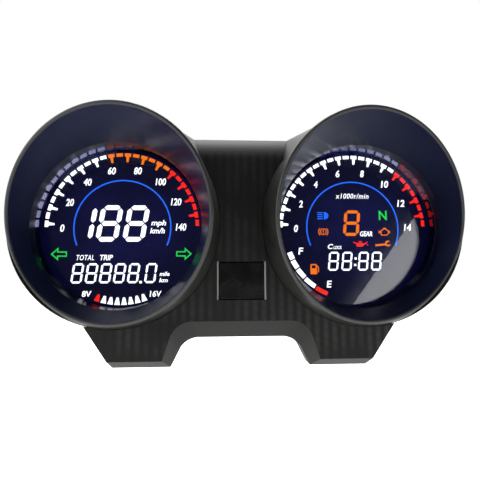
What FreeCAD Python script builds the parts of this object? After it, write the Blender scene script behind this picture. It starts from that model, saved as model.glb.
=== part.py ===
"""Twin-pod digital instrument cluster for a motorcycle, in millimetres.

Two round display pods sit in deep slanted hoods on either side of a textured bridge, whose two legs
straddle the ignition lock and cover the bolts that hold the cluster to its stay.
X is to the rider's right, Y points away from the rider (forwards on the motorcycle) and Z is up.
Every piece is drawn with its depth measured from the lens face and its height from the dial axes;
one move at the end puts the origin midway between the two stay bolts, on the stay's face.
"""
import FreeCAD, Part
import math
import os
from FreeCAD import Vector

# ---- driving dimensions -------------------------------------------------------------------------
POD_GAP = 20.0            # between the two pods' flanges
STAY_DROP = 10.5          # stay bolts below the lips
STAY_FACE = 14.0          # depth of the stay's face behind the lens faces

SIGHT_R = 47.4            # what the rider sees of a display
THROAT_FLARE = 0.4        # the glossy throat above the display widens this much
THROAT_DEPTH = 12.0
LIP_MARGIN = 8.1          # hood's lip outside the display, seen along the dial axis
LIP_WIDTH = 2.4
LIP_ROUND = 1.0           # rounded edges of the lip
LIP_REACH = 37.0          # lip's middle ahead of the lens face
LIP_RISE_TOP = 11.0       # further ahead at the top, and less at the bottom
LIP_RISE_INNER = 14.0     # further ahead beside the bridge, and less outboard
ROOT_FLARE = 1.7          # hood's outside, past the lip's, where it passes through the fascia
ROOT_SHIFT = 1.3          # the hood leans this far inboard there
FLANGE_FLARE = 4.5        # hood's back edge and the housing's flange, past the lip

WALL = 2.4                # moulded walls of the hoods and fascia
SHELL = 2.2               # moulded walls of the rear housing
GAP = 0.25                # between pieces that pass through one another

FASCIA_FACE = -20.0       # depth of the bridge's flat face
FASCIA_BEVEL = 12.0       # depth over which the edges spread
FASCIA_TOP_DROP = 4.0     # bridge's top below the lips'
FASCIA_TOP_LAP = 16.0     # half width of the bridge's top past the pods' flanges
FASCIA_TOP_ROUND = 16.0
PARTING = 2.0             # depth of the joint between the front pieces and the rear housing
BRIDGE_FLOOR_LIFT = 2.0   # lower edge of the bridge above the lips' lowest point, on its front face
BRIDGE_SPREAD = 10.0      # how far that edge drops over the bevel
LEG_DROP = 18.5           # foot of the legs below the lips', on the front face
LEG_SPREAD = 5.6
LEG_WIDTH = 28.8
LEG_OUTSET = 1.0          # outer edge of a foot past the dial axis

BUTTON_W = 25.0
BUTTON_H = 20.8
BUTTON_CLEAR = 1.9        # between the button's upper corners and the hoods
BUTTON_TRAVEL = 1.5
BUTTON_GAP = 0.4
BUTTON_SINK = 1.0         # button's face below the fascia's
BUTTON_ROUND = 0.8
BUTTON_BEVEL = 0.8        # upright edges of its opening

LENS_T = 2.0
LENS_LEDGE = 2.2          # how far the lens reaches under the hood
GLASS_T = 2.8
GLASS_AIR = 0.4           # between lens and display glass
GUIDE_T = 3.0
BOARD_T = 1.6
BOARD_DEPTH = 12.0        # front of the main boards
BOARD_MARGIN = 0.6        # board's radius past the display

PLATE_T = 2.5             # back plate of the rear housing
FLANGE_T = 3.5
BOWL_DEPTH = 36.2         # outside of a bowl's floor
BOWL_TAPER = 3.8          # a bowl's radius shrinks this much towards its floor
BOWL_ROUND = 7.0
TUNNEL_HALF_H = 12.0      # hollow box between the bowls
TUNNEL_DEPTH = 24.0

SCREW_R = 1.45            # 3 mm case screws
SCREW_HEAD_R = 2.9
SCREW_HEAD_T = 2.2
SCREW_INSET = 4.8         # case screws inside the flange's edge
SCREW_LENGTH = 12.0
BOSS_R = 3.2
BOARD_SCREW_R = 0.9       # 2 mm board screws
BOARD_SCREW_INSET = 1.6   # inside the board's edge

STAY_INSET = 14.0         # stay bolts inboard of the dial axes
STAY_BOLT_R = 3.0         # M6
STAY_BOSS_R = 8.5
INSERT_R = 4.4
DAMPER_R = 9.5
DAMPER_T = 2.0

NECK_R = 6.0              # M12 thread of the cable neck, for the cable's ring nut
NECK_ROOT_STEP = 1.0      # its root, which its own nut clamps, is an M14 thread
NECK_END = 50.0           # depth of the neck's mouth
NECK_UP = -6.0
NECK_FLANGE_R = 10.0
NUT_T = 4.0
NECK_SEAT_R = 4.2         # seat of the cable's ferrule
NECK_SEAT_L = 6.0
SPINDLE_R = 2.5
SPINDLE_GAP = 0.05
SPINDLE_SQUARE = 2.7
SOCKET_W = 30.0
SOCKET_H = 16.0
SOCKET_END = 38.0
SOCKET_WALL = 1.8

LEFT, RIGHT = -1, 1
SIDES = {"left": LEFT, "right": RIGHT}
DEPTH = Vector(0, 1, 0)
EPS = 0.01

# ---- sizes worked out from them -----------------------------------------------------------------
THROAT_R = SIGHT_R + THROAT_FLARE
NECK_ROOT_R = NECK_R + NECK_ROOT_STEP
LIP_R = SIGHT_R + LIP_MARGIN
ROOT_R = LIP_R + ROOT_FLARE
FLANGE_R = LIP_R + FLANGE_FLARE
POD_PITCH = 2 * FLANGE_R + POD_GAP
POD_X = POD_PITCH / 2
FASCIA_TOP = LIP_R - FASCIA_TOP_DROP
FASCIA_TOP_HALF = POD_GAP / 2 + FASCIA_TOP_LAP
BRIDGE_FLOOR = BRIDGE_FLOOR_LIFT - LIP_R
LEG_FOOT = -LIP_R - LEG_DROP
LEG_OUTER = POD_X + LEG_OUTSET
LEG_INNER = LEG_OUTER - LEG_WIDTH
BUTTON_REACH = ROOT_R + ROOT_SHIFT + BUTTON_CLEAR + 1.0
BUTTON_HEIGHT = -math.sqrt(BUTTON_REACH ** 2 - (POD_X - BUTTON_W / 2) ** 2) - BUTTON_H / 2
BOARD_R = SIGHT_R + BOARD_MARGIN
SCREW_RING_R = FLANGE_R - SCREW_INSET
BOARD_SCREW_RING_R = BOARD_R - BOARD_SCREW_INSET
STAY_PITCH = 2 * (POD_X - STAY_INSET)
DIAL_HEIGHT = LIP_R + STAY_DROP
LENS_R = SIGHT_R + LENS_LEDGE
LENS_BORE_R = LENS_R + GAP
BOWL_BORE_R = LENS_BORE_R
BOWL_R = BOWL_BORE_R + SHELL
BOWL_R_BACK = BOWL_R - BOWL_TAPER
SEAL_R = FLANGE_R - 1.7
LIP_SLOPE = math.hypot(LIP_RISE_TOP, LIP_RISE_INNER) / LIP_R
LIP_ANGLE = math.atan2(LIP_RISE_TOP, LIP_RISE_INNER)
GLASS_FRONT = LENS_T + GLASS_AIR
GLASS_BACK = GLASS_FRONT + GLASS_T
BOARD_BACK = BOARD_DEPTH + BOARD_T
FASCIA_BACK = FASCIA_FACE + WALL
BUTTON_FACE = FASCIA_FACE + BUTTON_SINK
PLATE_BACK = PARTING + PLATE_T
FLANGE_BACK = PARTING + FLANGE_T
BOWL_FLOOR = BOWL_DEPTH - SHELL


# ---- shape helpers ------------------------------------------------------------------------------
def spot(side, inward, up, depth):
    """A point given from a pod's dial axis: towards the bridge, up, and away from the rider."""
    return Vector(side * (POD_X - inward), depth, up)


def rod(x, z, radius, front, back):
    return Part.makeCylinder(radius, back - front, Vector(x, front, z), DEPTH)


def tube(x, z, outer, inner, front, back):
    return rod(x, z, outer, front, back).cut(rod(x, z, inner, front - 1, back + 1))


def block(x, z, width, height, front, back):
    """A box centred on x and z."""
    return Part.makeBox(width, back - front, height, Vector(x - width / 2, front, z - height / 2))


def rounded_block(x, z, width, height, front, back, radius):
    solid = block(x, z, width, height, front, back)
    corners = [e for e in solid.Edges if abs(e.tangentAt(e.FirstParameter).y) > 0.99]
    return solid.makeFillet(radius, corners)


def turned(x, z, profile):
    """A solid turned about an axis along the depth, from points of radius and depth."""
    points = [Vector(x + r, d, z) for r, d in profile]
    face = Part.Face(Part.makePolygon(points + points[:1]))
    return face.revolve(Vector(x, 0, z), DEPTH, 360)


def around(x, z, radius, degrees):
    """Centres on a circle about x and z, one for each angle."""
    return [(x + radius * math.cos(math.radians(a)), z + radius * math.sin(math.radians(a))) for a in degrees]


def fused(shapes):
    whole = shapes[0].multiFuse(shapes[1:])
    return whole.removeSplitter()


def ahead_of(point, normal):
    """A large block that fills the space on the side of a plane that its normal points to."""
    size = 400.0
    solid = Part.makeBox(size, size, size, Vector(-size / 2, -size / 2, 0))
    solid.Placement = FreeCAD.Placement(point, FreeCAD.Rotation(Vector(0, 0, 1), normal))
    return solid


# ---- hoods --------------------------------------------------------------------------------------
def slope_frame(side, slope):
    """Directions of a ring whose plane leans forward towards the bridge and the top by this slope."""
    level = Vector(-side * math.cos(LIP_ANGLE), 0, math.sin(LIP_ANGLE))
    across = Vector(side * math.sin(LIP_ANGLE), 0, math.cos(LIP_ANGLE))
    steep = (level - DEPTH * slope).normalize()
    return steep, across, steep.cross(across)


def ring_wire(side, radius, reach, slope=0.0, inward=0.0):
    """A ring that looks round along the dial axis, with its middle this far ahead of the lens."""
    steep, across, normal = slope_frame(side, slope)
    if slope:
        curve = Part.Ellipse(Vector(0, 0, 0), radius * math.hypot(1, slope), radius)
    else:
        curve = Part.Circle(Vector(0, 0, 0), Vector(0, 0, 1), radius)
    edge = curve.toShape()
    turn = FreeCAD.Rotation(steep, across, normal, "XYZ")
    edge.Placement = FreeCAD.Placement(spot(side, inward, 0, -reach), turn)
    return Part.Wire([edge])


def sleeve(side, rings):
    """A solid through rings given as radius, reach, slope and inward shift."""
    return Part.makeLoft([ring_wire(side, *ring) for ring in rings], True, True)


def hood_body(side, grow=0.0):
    """The outside of a hood, filled: its leaning wall and the shoulder that meets the bridge's top."""
    wall = sleeve(side, [
        (FLANGE_R + grow, -PARTING),
        (ROOT_R + grow, -FASCIA_FACE, 0.0, ROOT_SHIFT),
    ] + lip_rings(LIP_R + grow - LIP_ROUND, 1))
    return wall.fuse(shoulder(side, grow))


def lip_rings(middle, way):
    """Rings that round the lip's edge, outwards (1) or inwards (-1) of the radius where its top is flat."""
    rings = []
    for degrees in (0, 30, 60, 90):
        turn = math.radians(degrees)
        rings.append((middle + way * LIP_ROUND * math.cos(turn),
                      LIP_REACH - LIP_ROUND * (1 - math.sin(turn)), LIP_SLOPE))
    return rings


def shoulder(side, grow):
    """The fairing between the top of the bridge and the hood, sunk in the hood just behind its lip."""
    tip_r = 3.0
    tip_reach = FLANGE_R + 1.5
    tip_angle = math.radians(48)
    root_reach = FLANGE_R - tip_r - 1.0
    below_lip = 4.0
    sunk = 0.8

    def tip(reach, depth):
        centre = spot(side, reach * math.cos(tip_angle), reach * math.sin(tip_angle), depth)
        return Part.Wire([Part.makeCircle(tip_r + grow, centre, DEPTH)])

    crown = ring_wire(side, LIP_R - sunk + grow, LIP_REACH - below_lip, LIP_SLOPE)
    back = Part.makeLoft([tip(root_reach, PARTING - 0.5), tip(tip_reach, FASCIA_FACE + 3)], True, True)
    front = Part.makeLoft([tip(tip_reach, FASCIA_FACE + 3), crown], True, True)
    return back.fuse(front)


def make_hood(side):
    """One hood. The right one is the left one's mirror image."""
    hood = make_left_hood()
    return hood if side == LEFT else hood.mirror(Vector(0, 0, 0), Vector(1, 0, 0))


def make_left_hood():
    """The lip, the glossy throat down to the lens, the lens seat and four screw bosses."""
    side = LEFT
    x = side * POD_X
    throat = sleeve(side, [
        (SIGHT_R, -EPS),
        (THROAT_R, THROAT_DEPTH),
    ] + lip_rings(LIP_R - LIP_WIDTH + LIP_ROUND, -1) + [
        (LIP_R - LIP_WIDTH + LIP_ROUND, LIP_REACH + 12, LIP_SLOPE),
    ])
    inner_wall = 1.6
    past = 5.0
    throat_skin = sleeve(side, [
        (LENS_BORE_R + inner_wall, -PARTING - past),
        (LENS_BORE_R + inner_wall, 3),
        (THROAT_R + WALL + 1, THROAT_DEPTH + 8),
        (LIP_R + 1, LIP_REACH + past, LIP_SLOPE),
    ])
    rim_wall = 3.4
    cavity = sleeve(side, [
        (FLANGE_R - rim_wall, -PARTING - 1),
        (ROOT_R - WALL, -FASCIA_FACE, 0.0, ROOT_SHIFT),
        (LIP_R - WALL, LIP_REACH, LIP_SLOPE),
    ]).cut(throat_skin)
    solid_tip = 16.0
    _, _, normal = slope_frame(side, LIP_SLOPE)
    forward = normal if normal.y < 0 else normal * -1
    cavity = cavity.cut(ahead_of(spot(side, 0, 0, -LIP_REACH + solid_tip), forward))
    screws = around(x, 0, SCREW_RING_R, (45, 135, 225, 315))
    boss_front = PARTING - 16
    cavity = cavity.cut(Part.makeCompound([rod(bx, bz, BOSS_R, boss_front, PARTING + 1) for bx, bz in screws]))
    hood = hood_body(side).cut(throat).cut(cavity)
    hood = hood.cut(rod(x, 0, LENS_BORE_R, 0, PARTING + 1))
    pilot_front = FLANGE_BACK - SCREW_LENGTH - 1
    hood = hood.cut(Part.makeCompound([rod(bx, bz, SCREW_R, pilot_front, PARTING + 1) for bx, bz in screws]))
    return largest(hood)


# ---- fascia -------------------------------------------------------------------------------------
def fascia_outline(depth, spread, inset=0.0):
    """The bridge and legs seen from the front. spread is 0 on the face and 1 behind the bevel."""
    top = FASCIA_TOP
    foot = LEG_FOOT - LEG_SPREAD * spread
    floor = BRIDGE_FLOOR - BRIDGE_SPREAD * spread
    inner = LEG_INNER - 3.0 * spread
    right = [
        (0, top), (FASCIA_TOP_HALF, top), (POD_X - 20, top - 22), (LEG_OUTER + 13, LEG_FOOT + 19),
        (LEG_OUTER, foot), (inner, foot), (inner - 3.8, floor - 8.5),
    ]
    bend = (inner - 7.6, floor - 3.0)
    end = (inner - 15.0, floor)

    def at(x, z):
        return Vector(x, depth, z)

    def both(side):
        points = [at(side * x, z) for x, z in right]
        edges = [Part.LineSegment(a, b).toShape() for a, b in zip(points, points[1:])]
        arc = Part.Arc(points[-1], at(side * bend[0], bend[1]), at(side * end[0], end[1])).toShape()
        return edges + [arc]

    across = Part.LineSegment(at(end[0], end[1]), at(-end[0], end[1])).toShape()
    ordered = both(RIGHT) + [across] + both(LEFT)
    wire = Part.Wire(Part.__sortEdges__(ordered))
    if inset:
        wire = Part.Face(wire).makeOffset2D(-inset, 2).OuterWire
    return wire


def fascia_block(inset, front, back):
    """The filled shape of the fascia, or of its inside when it is inset by a wall."""
    face = fascia_outline(front, 0.0, inset)
    edge = fascia_outline(FASCIA_FACE + FASCIA_BEVEL, 1.0, inset)
    bevel = Part.makeLoft([face, edge], True, True)
    skirt = Part.Face(edge).extrude(DEPTH * (back - FASCIA_FACE - FASCIA_BEVEL))
    solid = bevel.fuse(skirt).removeSplitter()
    radius = FASCIA_TOP_ROUND - inset
    height = FASCIA_TOP - inset
    rounder = block(0, height, 4 * FASCIA_TOP_HALF, 2 * radius, front - 1, front + radius)
    rounder = rounder.cut(
        Part.makeCylinder(radius, 6 * FASCIA_TOP_HALF,
                          Vector(-3 * FASCIA_TOP_HALF, front + radius, height - radius), Vector(1, 0, 0)))
    rounder = rounder.cut(block(0, height - radius - 50, 6 * FASCIA_TOP_HALF, 100, front - 2, front + radius))
    return solid.cut(rounder)


BUTTON_LUG = 7.5
UPPER_SCREW = (FASCIA_TOP_HALF - 11.0, FASCIA_TOP - 13.5)
LOWER_SCREW = (BUTTON_W / 2 + BUTTON_LUG + BOSS_R + 1.8, BRIDGE_FLOOR + 5.5)
FASCIA_SCREWS = [(sx * x, z) for x, z in (UPPER_SCREW, LOWER_SCREW) for sx in SIDES.values()]


def make_fascia():
    """The bridge and legs: an open-backed shell with the button's opening and four screw bosses."""
    shell = fascia_block(0.0, FASCIA_FACE, PARTING).cut(fascia_block(WALL, FASCIA_BACK, PARTING + 1))
    bosses = [rod(x, z, BOSS_R, FASCIA_BACK - 1, PARTING) for x, z in FASCIA_SCREWS]
    outside = fascia_block(0.0, FASCIA_FACE, PARTING)
    bosses = [boss.common(outside) for boss in bosses]
    guide_w = BUTTON_W + 6 * WALL
    guide_h = BUTTON_H + 4 * WALL
    guide = block(0, BUTTON_HEIGHT, guide_w, guide_h, FASCIA_BACK - 1, BUTTON_BOARD_FRONT)
    guide = guide.cut(block(0, BUTTON_HEIGHT, BUTTON_W + 2 * BUTTON_STOP + 1, BUTTON_H + 2 * BUTTON_STOP + 1,
                            FASCIA_BACK, PARTING))
    shell = fused([shell, guide] + bosses)
    shell = shell.cut(rounded_block(0, BUTTON_HEIGHT, BUTTON_W, BUTTON_H, FASCIA_FACE - 1, FASCIA_BACK + 1,
                                    BUTTON_ROUND))
    shell = shell.cut(Part.makeCompound([opening_bevel(sx) for sx in SIDES.values()]))
    pilots = [rod(x, z, SCREW_R, PLATE_BACK - SCREW_LENGTH - 1, PARTING + 1) for x, z in FASCIA_SCREWS]
    pilots += [rod(x, z, BOARD_SCREW_R, BUTTON_BOARD_FRONT - 4, BUTTON_BOARD_FRONT + 1)
               for x, z in button_screw_spots()]
    shell = shell.cut(Part.makeCompound(pilots))
    for side in SIDES.values():
        shell = shell.cut(hood_body(side, GAP))
    return largest(shell)


def opening_bevel(side):
    """The wedge that bevels one upright edge of the button's opening."""
    x = side * BUTTON_W / 2
    wedge = [(x - side, FASCIA_FACE - 1), (x + side * (BUTTON_BEVEL + 1), FASCIA_FACE - 1),
             (x, FASCIA_FACE + BUTTON_BEVEL), (x - side, FASCIA_FACE + BUTTON_BEVEL)]
    points = [Vector(px, depth, BUTTON_HEIGHT - BUTTON_H / 2) for px, depth in wedge]
    return Part.Face(Part.makePolygon(points + points[:1])).extrude(Vector(0, 0, BUTTON_H))


def largest(shape):
    """The main solid, without slivers that a cut left standing on their own."""
    return max(shape.Solids, key=lambda solid: solid.Volume)


# ---- mode button --------------------------------------------------------------------------------
BUTTON_STOP = 1.4               # ledge that keeps the button behind the fascia
BUTTON_BOARD_FRONT = -7.0
MEMBRANE_T = 1.0
DOME_H = 3.2
DOME_R = 6.0


def button_screw_spots():
    return [(sx * (BUTTON_W / 2 + 4.7), BUTTON_HEIGHT - 6.0) for sx in SIDES.values()]


def make_mode_button():
    """The key: a hollow cap with a stop ledge behind the fascia and a stem on the rubber dome."""
    width = BUTTON_W - 2 * BUTTON_GAP
    height = BUTTON_H - 2 * BUTTON_GAP
    depth = 6.0
    wall = 1.5
    cap = rounded_block(0, BUTTON_HEIGHT, width, height, BUTTON_FACE, BUTTON_FACE + depth, BUTTON_ROUND)
    front = [e for e in cap.Edges if abs(e.CenterOfMass.y - BUTTON_FACE) < EPS]
    cap = cap.makeFillet(0.5, front)
    ledge = block(0, BUTTON_HEIGHT, width + 2 * BUTTON_STOP, height + 2 * BUTTON_STOP,
                  FASCIA_BACK + 0.05, FASCIA_BACK + 1.5)
    cap = fused([cap, ledge])
    cap = cap.cut(block(0, BUTTON_HEIGHT, width - 2 * wall, height - 2 * wall,
                        BUTTON_FACE + wall, BUTTON_FACE + depth + 1))
    stem_end = BUTTON_BOARD_FRONT - MEMBRANE_T - DOME_H
    stem = rod(0, BUTTON_HEIGHT, 3.0, BUTTON_FACE + wall - 0.5, stem_end)
    return fused([cap, stem])


def make_button_membrane():
    """Silicone mat with the dome that returns the button and closes its contact."""
    back = BUTTON_BOARD_FRONT
    front = back - MEMBRANE_T
    mat = block(0, BUTTON_HEIGHT, BUTTON_W, BUTTON_H, front, back)
    dome = turned(0, BUTTON_HEIGHT, [(0, front - DOME_H), (3.6, front - DOME_H), (DOME_R, front + 0.2),
                                     (0, front + 0.2)])
    hollow = turned(0, BUTTON_HEIGHT, [(0, front - DOME_H + 1.6), (2.4, front - DOME_H + 1.6),
                                       (DOME_R - 1.0, back + 1), (0, back + 1)])
    return fused([mat, dome]).cut(hollow)


def make_button_board():
    """Small board behind the dome, with a lug at each side for its screws."""
    back = BUTTON_BOARD_FRONT + BOARD_T
    board = fused([block(0, BUTTON_HEIGHT, BUTTON_W + 2, BUTTON_H + 4, BUTTON_BOARD_FRONT, back),
                   block(0, BUTTON_HEIGHT - 6.0, BUTTON_W + 2 * BUTTON_LUG, 7.6, BUTTON_BOARD_FRONT, back)])
    holes = [rod(x, z, BOARD_SCREW_R + 0.2, BUTTON_BOARD_FRONT - 1, BUTTON_BOARD_FRONT + 3)
             for x, z in button_screw_spots()]
    return board.cut(Part.makeCompound(holes))


# ---- displays -----------------------------------------------------------------------------------
STRIP_HALF_L = 17.0
STRIP_UP = SIGHT_R - 4.5
STRIP_T = 2.4
HOLDER_R = LENS_R
HOLDER_FRONT = GLASS_FRONT + 1.0
GLASS_R = SIGHT_R + 1.0
BOARD_SCREW_ANGLES = (60, 120, 240, 300)


def make_lens(side):
    return rod(side * POD_X, 0, LENS_R, 0, LENS_T)


def make_lens_gasket(side):
    """Rubber ring round the display glass, pressed between the lens and the display holder."""
    return tube(side * POD_X, 0, LENS_R, GLASS_R + 0.1, LENS_T, HOLDER_FRONT)


def make_display_glass(side):
    return rod(side * POD_X, 0, GLASS_R, GLASS_FRONT, GLASS_BACK)


def make_light_guide(side):
    """Clear plate behind the glass that spreads the light, cut away for the contact strips."""
    x = side * POD_X
    plate = rod(x, 0, GLASS_R - 0.3, GLASS_BACK + 0.1, GLASS_BACK + 0.1 + GUIDE_T)
    return plate.common(block(x, 0, 2 * GLASS_R, 2 * (STRIP_UP - STRIP_T), 0, BOARD_DEPTH))


def make_display_holder(side):
    """White frame that carries the glass, the light guide and the board."""
    x = side * POD_X
    ledge_front = GLASS_BACK + 0.1 + GUIDE_T + 0.1
    frame = tube(x, 0, HOLDER_R, GLASS_R + 0.1, HOLDER_FRONT, ledge_front)
    ledge = tube(x, 0, HOLDER_R, GLASS_R - 3.5, ledge_front, BOARD_DEPTH)
    holder = fused([frame, ledge])
    holder = holder.cut(Part.makeCompound([strip_block(x, up, 0.1, 3.0) for up in (-STRIP_UP, STRIP_UP)]))
    pilots = [rod(px, pz, BOARD_SCREW_R, BOARD_DEPTH - 3, BOARD_DEPTH + 1)
              for px, pz in around(x, 0, BOARD_SCREW_RING_R, BOARD_SCREW_ANGLES)]
    return holder.cut(Part.makeCompound(pilots))


def strip_block(x, up, gap, past=0.0):
    return block(x, up, 2 * (STRIP_HALF_L + gap), STRIP_T + 2 * gap, GLASS_BACK, BOARD_DEPTH + past)


def make_contact_strips(side):
    """Elastomer strips that join the glass's edge contacts to the board."""
    return Part.makeCompound([strip_block(side * POD_X, up, 0.0) for up in (-STRIP_UP, STRIP_UP)])


def make_board(side):
    x = side * POD_X
    board = rod(x, 0, BOARD_R, BOARD_DEPTH, BOARD_BACK)
    holes = [rod(px, pz, BOARD_SCREW_R + 0.2, BOARD_DEPTH - 1, BOARD_BACK + 1)
             for px, pz in around(x, 0, BOARD_SCREW_RING_R, BOARD_SCREW_ANGLES)]
    return board.cut(Part.makeCompound(holes))


def make_backlight_leds(side):
    """Surface-mount lamps on the front of a board, one in the middle and two rings round it."""
    x = side * POD_X
    spots = [(x, 0)] + around(x, 0, 17, range(0, 360, 60)) + around(x, 0, 33, range(15, 360, 30))
    return Part.makeCompound([block(lx, lz, 3.5, 2.8, BOARD_DEPTH - 0.8, BOARD_DEPTH) for lx, lz in spots])


def make_chip(side, size, up):
    """A flat square package with its legs along two sides, on the back of a board."""
    x = side * POD_X
    body = block(x, up, size, size, BOARD_BACK + 0.2, BOARD_BACK + 1.6)
    pitch = 1.6
    count = int(size / pitch) - 1
    legs = [block(x + (n - (count - 1) / 2) * pitch, up, 0.6, size + 2.4, BOARD_BACK, BOARD_BACK + 0.5)
            for n in range(count)]
    return fused([body] + legs)


# ---- rear housing -------------------------------------------------------------------------------
RIB_ANGLES = (35, 145, 215, 325)
VENT_UP = 10.0
VENT_R = 5.0


def bowl_profile(inset):
    """Half section of a bowl's outside, or of its inside when it is inset by the shell."""
    front = PARTING - (1 if inset else 0)
    return [(0, front), (BOWL_R - inset, front), (BOWL_R - inset, BOARD_BACK + 1), (BOWL_R_BACK - inset, BOWL_DEPTH - inset),
            (0, BOWL_DEPTH - inset)]


def bowl(side, inset):
    solid = turned(side * POD_X, 0, bowl_profile(inset))
    back = [e for e in solid.Edges if e.Length > BOWL_R_BACK and
            abs(e.CenterOfMass.y - (BOWL_DEPTH - inset)) < EPS]
    return solid.makeFillet(BOWL_ROUND - inset, back)


def bowl_rib(side, degrees):
    """A rib inside a bowl that presses on the board's edge."""
    length = BOWL_R - SHELL / 2 - (BOARD_R - 3.5)
    rib = Part.makeBox(length, BOWL_FLOOR - BOARD_BACK + 1, 2.0, Vector(BOARD_R - 3.5, BOARD_BACK, -1.0))
    rib.rotate(Vector(0, 0, 0), DEPTH, -degrees)
    rib.translate(Vector(side * POD_X, 0, 0))
    return rib


def stay_spots():
    return [(sx * STAY_PITCH / 2, -DIAL_HEIGHT) for sx in SIDES.values()]


def make_rear_housing():
    """The rear shell: back plate, two bowls, the tunnel between them and the stay bosses."""
    plate = Part.Face(fascia_outline(PARTING, 1.0)).extrude(DEPTH * PLATE_T)
    solids = [plate]
    voids = []
    for side in SIDES.values():
        x = side * POD_X
        solids += [rod(x, 0, FLANGE_R, PARTING, FLANGE_BACK), bowl(side, 0.0)]
        inside = bowl(side, SHELL)
        ribs = Part.makeCompound([bowl_rib(side, a) for a in RIB_ANGLES])
        voids.append(inside.cut(ribs))
    tunnel_w = POD_PITCH - 2 * BOWL_R + 24
    tunnel = rounded_block(0, 0, tunnel_w, 2 * TUNNEL_HALF_H, PARTING, TUNNEL_DEPTH, 3)
    solids.append(tunnel)
    voids.append(block(0, 0, tunnel_w - 1, 2 * (TUNNEL_HALF_H - SHELL), FLANGE_BACK, TUNNEL_DEPTH - SHELL))
    solids += [rod(x, z, STAY_BOSS_R, PARTING, STAY_FACE - DAMPER_T) for x, z in stay_spots()]
    solids += back_ribs()
    housing = fused(solids)
    housing = housing.cut(fused(voids))
    cuts = [rod(x, z, INSERT_R, PARTING + 1, STAY_FACE) for x, z in stay_spots()]
    for side in SIDES.values():
        x = side * POD_X
        cuts += [rod(bx, bz, SCREW_R + GAP, PARTING - 1, FLANGE_BACK + 1)
                 for bx, bz in around(x, 0, SCREW_RING_R, (45, 135, 225, 315))]
        cuts.append(tube(x, 0, SEAL_R + SEAL_W / 2, SEAL_R - SEAL_W / 2, PARTING - EPS, PARTING + SEAL_T))
        notches = [rod(px, pz, 2.6, BOARD_BACK - 1, BOARD_BACK + 2.5)
                   for px, pz in around(x, 0, BOARD_SCREW_RING_R, BOARD_SCREW_ANGLES)]
        cuts += notches
    cuts += [rod(x, z, SCREW_R + GAP, PARTING - 1, PLATE_BACK + 1) for x, z in FASCIA_SCREWS]
    cuts.append(rod(-POD_X, NECK_UP, NECK_ROOT_R + 0.1, BOWL_FLOOR - 1, BOWL_DEPTH + 1))
    cuts.append(rod(POD_X, VENT_UP, VENT_R - 1.5, BOWL_FLOOR - 1, BOWL_DEPTH + 1))
    cuts.append(block(0, 0, SOCKET_W + 0.2, SOCKET_H + 0.2, TUNNEL_DEPTH - SHELL - 1, TUNNEL_DEPTH + 1))
    cuts.append(block(0, BUTTON_SLOT_Z, 11.0, 3.0, PARTING - 1, FLANGE_BACK + 1))
    return largest(housing.cut(Part.makeCompound(cuts)))


def back_ribs():
    """Stiffening ribs on the back plate, from the bowls down to the stay bosses and up the bridge."""
    ribs = []
    rib_back = PLATE_BACK + 4.0
    for x, z in stay_spots():
        top = z + 22.0
        ribs.append(block(x, (z + top) / 2, 2.0, top - z, PLATE_BACK - 0.5, rib_back))
        ribs.append(block(x, z, 2 * STAY_BOSS_R + 6.0, 2.0, PLATE_BACK - 0.5, rib_back))
    for x in (-8.0, 8.0):
        ribs.append(block(x, 28.0, 2.0, 34.0, PLATE_BACK - 0.5, rib_back))
        ribs.append(block(x, -32.0, 2.0, 42.0, PLATE_BACK - 0.5, rib_back))
    return ribs


SEAL_W = 1.4
SEAL_T = 1.0


def make_case_seal(side):
    """Rubber ring in the housing's groove, against the hood's back edge."""
    return tube(side * POD_X, 0, SEAL_R + SEAL_W / 2, SEAL_R - SEAL_W / 2, PARTING, PARTING + SEAL_T)


def make_vent_plug():
    """Breather in the right bowl: a stem through the floor under a domed cap."""
    x = POD_X
    stem = rod(x, VENT_UP, VENT_R - 1.6, BOWL_FLOOR - 1.5, BOWL_DEPTH + 0.5)
    cap = rod(x, VENT_UP, VENT_R, BOWL_DEPTH, BOWL_DEPTH + 3)
    cap = cap.makeFillet(1.2, [e for e in cap.Edges if abs(e.CenterOfMass.y - BOWL_DEPTH - 3) < EPS])
    plug = fused([stem, cap])
    return plug.cut(rod(x, VENT_UP, 1.0, BOWL_FLOOR - 3, BOWL_DEPTH + 4))


# ---- stay mounting ------------------------------------------------------------------------------
def make_stay_inserts():
    """Brass M6 inserts in the leg bosses, whose collars reach through the rubber to the stay."""
    return Part.makeCompound([tube(x, z, INSERT_R, STAY_BOLT_R, PARTING + 1.5, STAY_FACE)
                              for x, z in stay_spots()])


def make_stay_dampers():
    """Rubber washers between the leg bosses and the stay."""
    return Part.makeCompound([tube(x, z, DAMPER_R, INSERT_R + 0.2, STAY_FACE - DAMPER_T, STAY_FACE)
                              for x, z in stay_spots()])


# ---- speedometer cable drive --------------------------------------------------------------------
def make_cable_neck():
    """Threaded neck for the speedometer cable's ring nut, with a flange inside the left bowl."""
    x = -POD_X
    flange_t = 2.2
    body = rod(x, NECK_UP, NECK_R, BOWL_FLOOR - flange_t, NECK_END)
    mouth = [e for e in body.Edges if abs(e.CenterOfMass.y - NECK_END) < EPS]
    body = body.makeChamfer(0.6, mouth)
    root = rod(x, NECK_UP, NECK_ROOT_R, BOWL_FLOOR - flange_t, BOWL_DEPTH + NUT_T + 0.6)
    neck = fused([body, root, rod(x, NECK_UP, NECK_FLANGE_R, BOWL_FLOOR - flange_t, BOWL_FLOOR)])
    neck = neck.cut(rod(x, NECK_UP, SPINDLE_R + SPINDLE_GAP, 0, NECK_END + 1))
    return neck.cut(rod(x, NECK_UP, NECK_SEAT_R, NECK_END - NECK_SEAT_L, NECK_END + 1))


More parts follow.
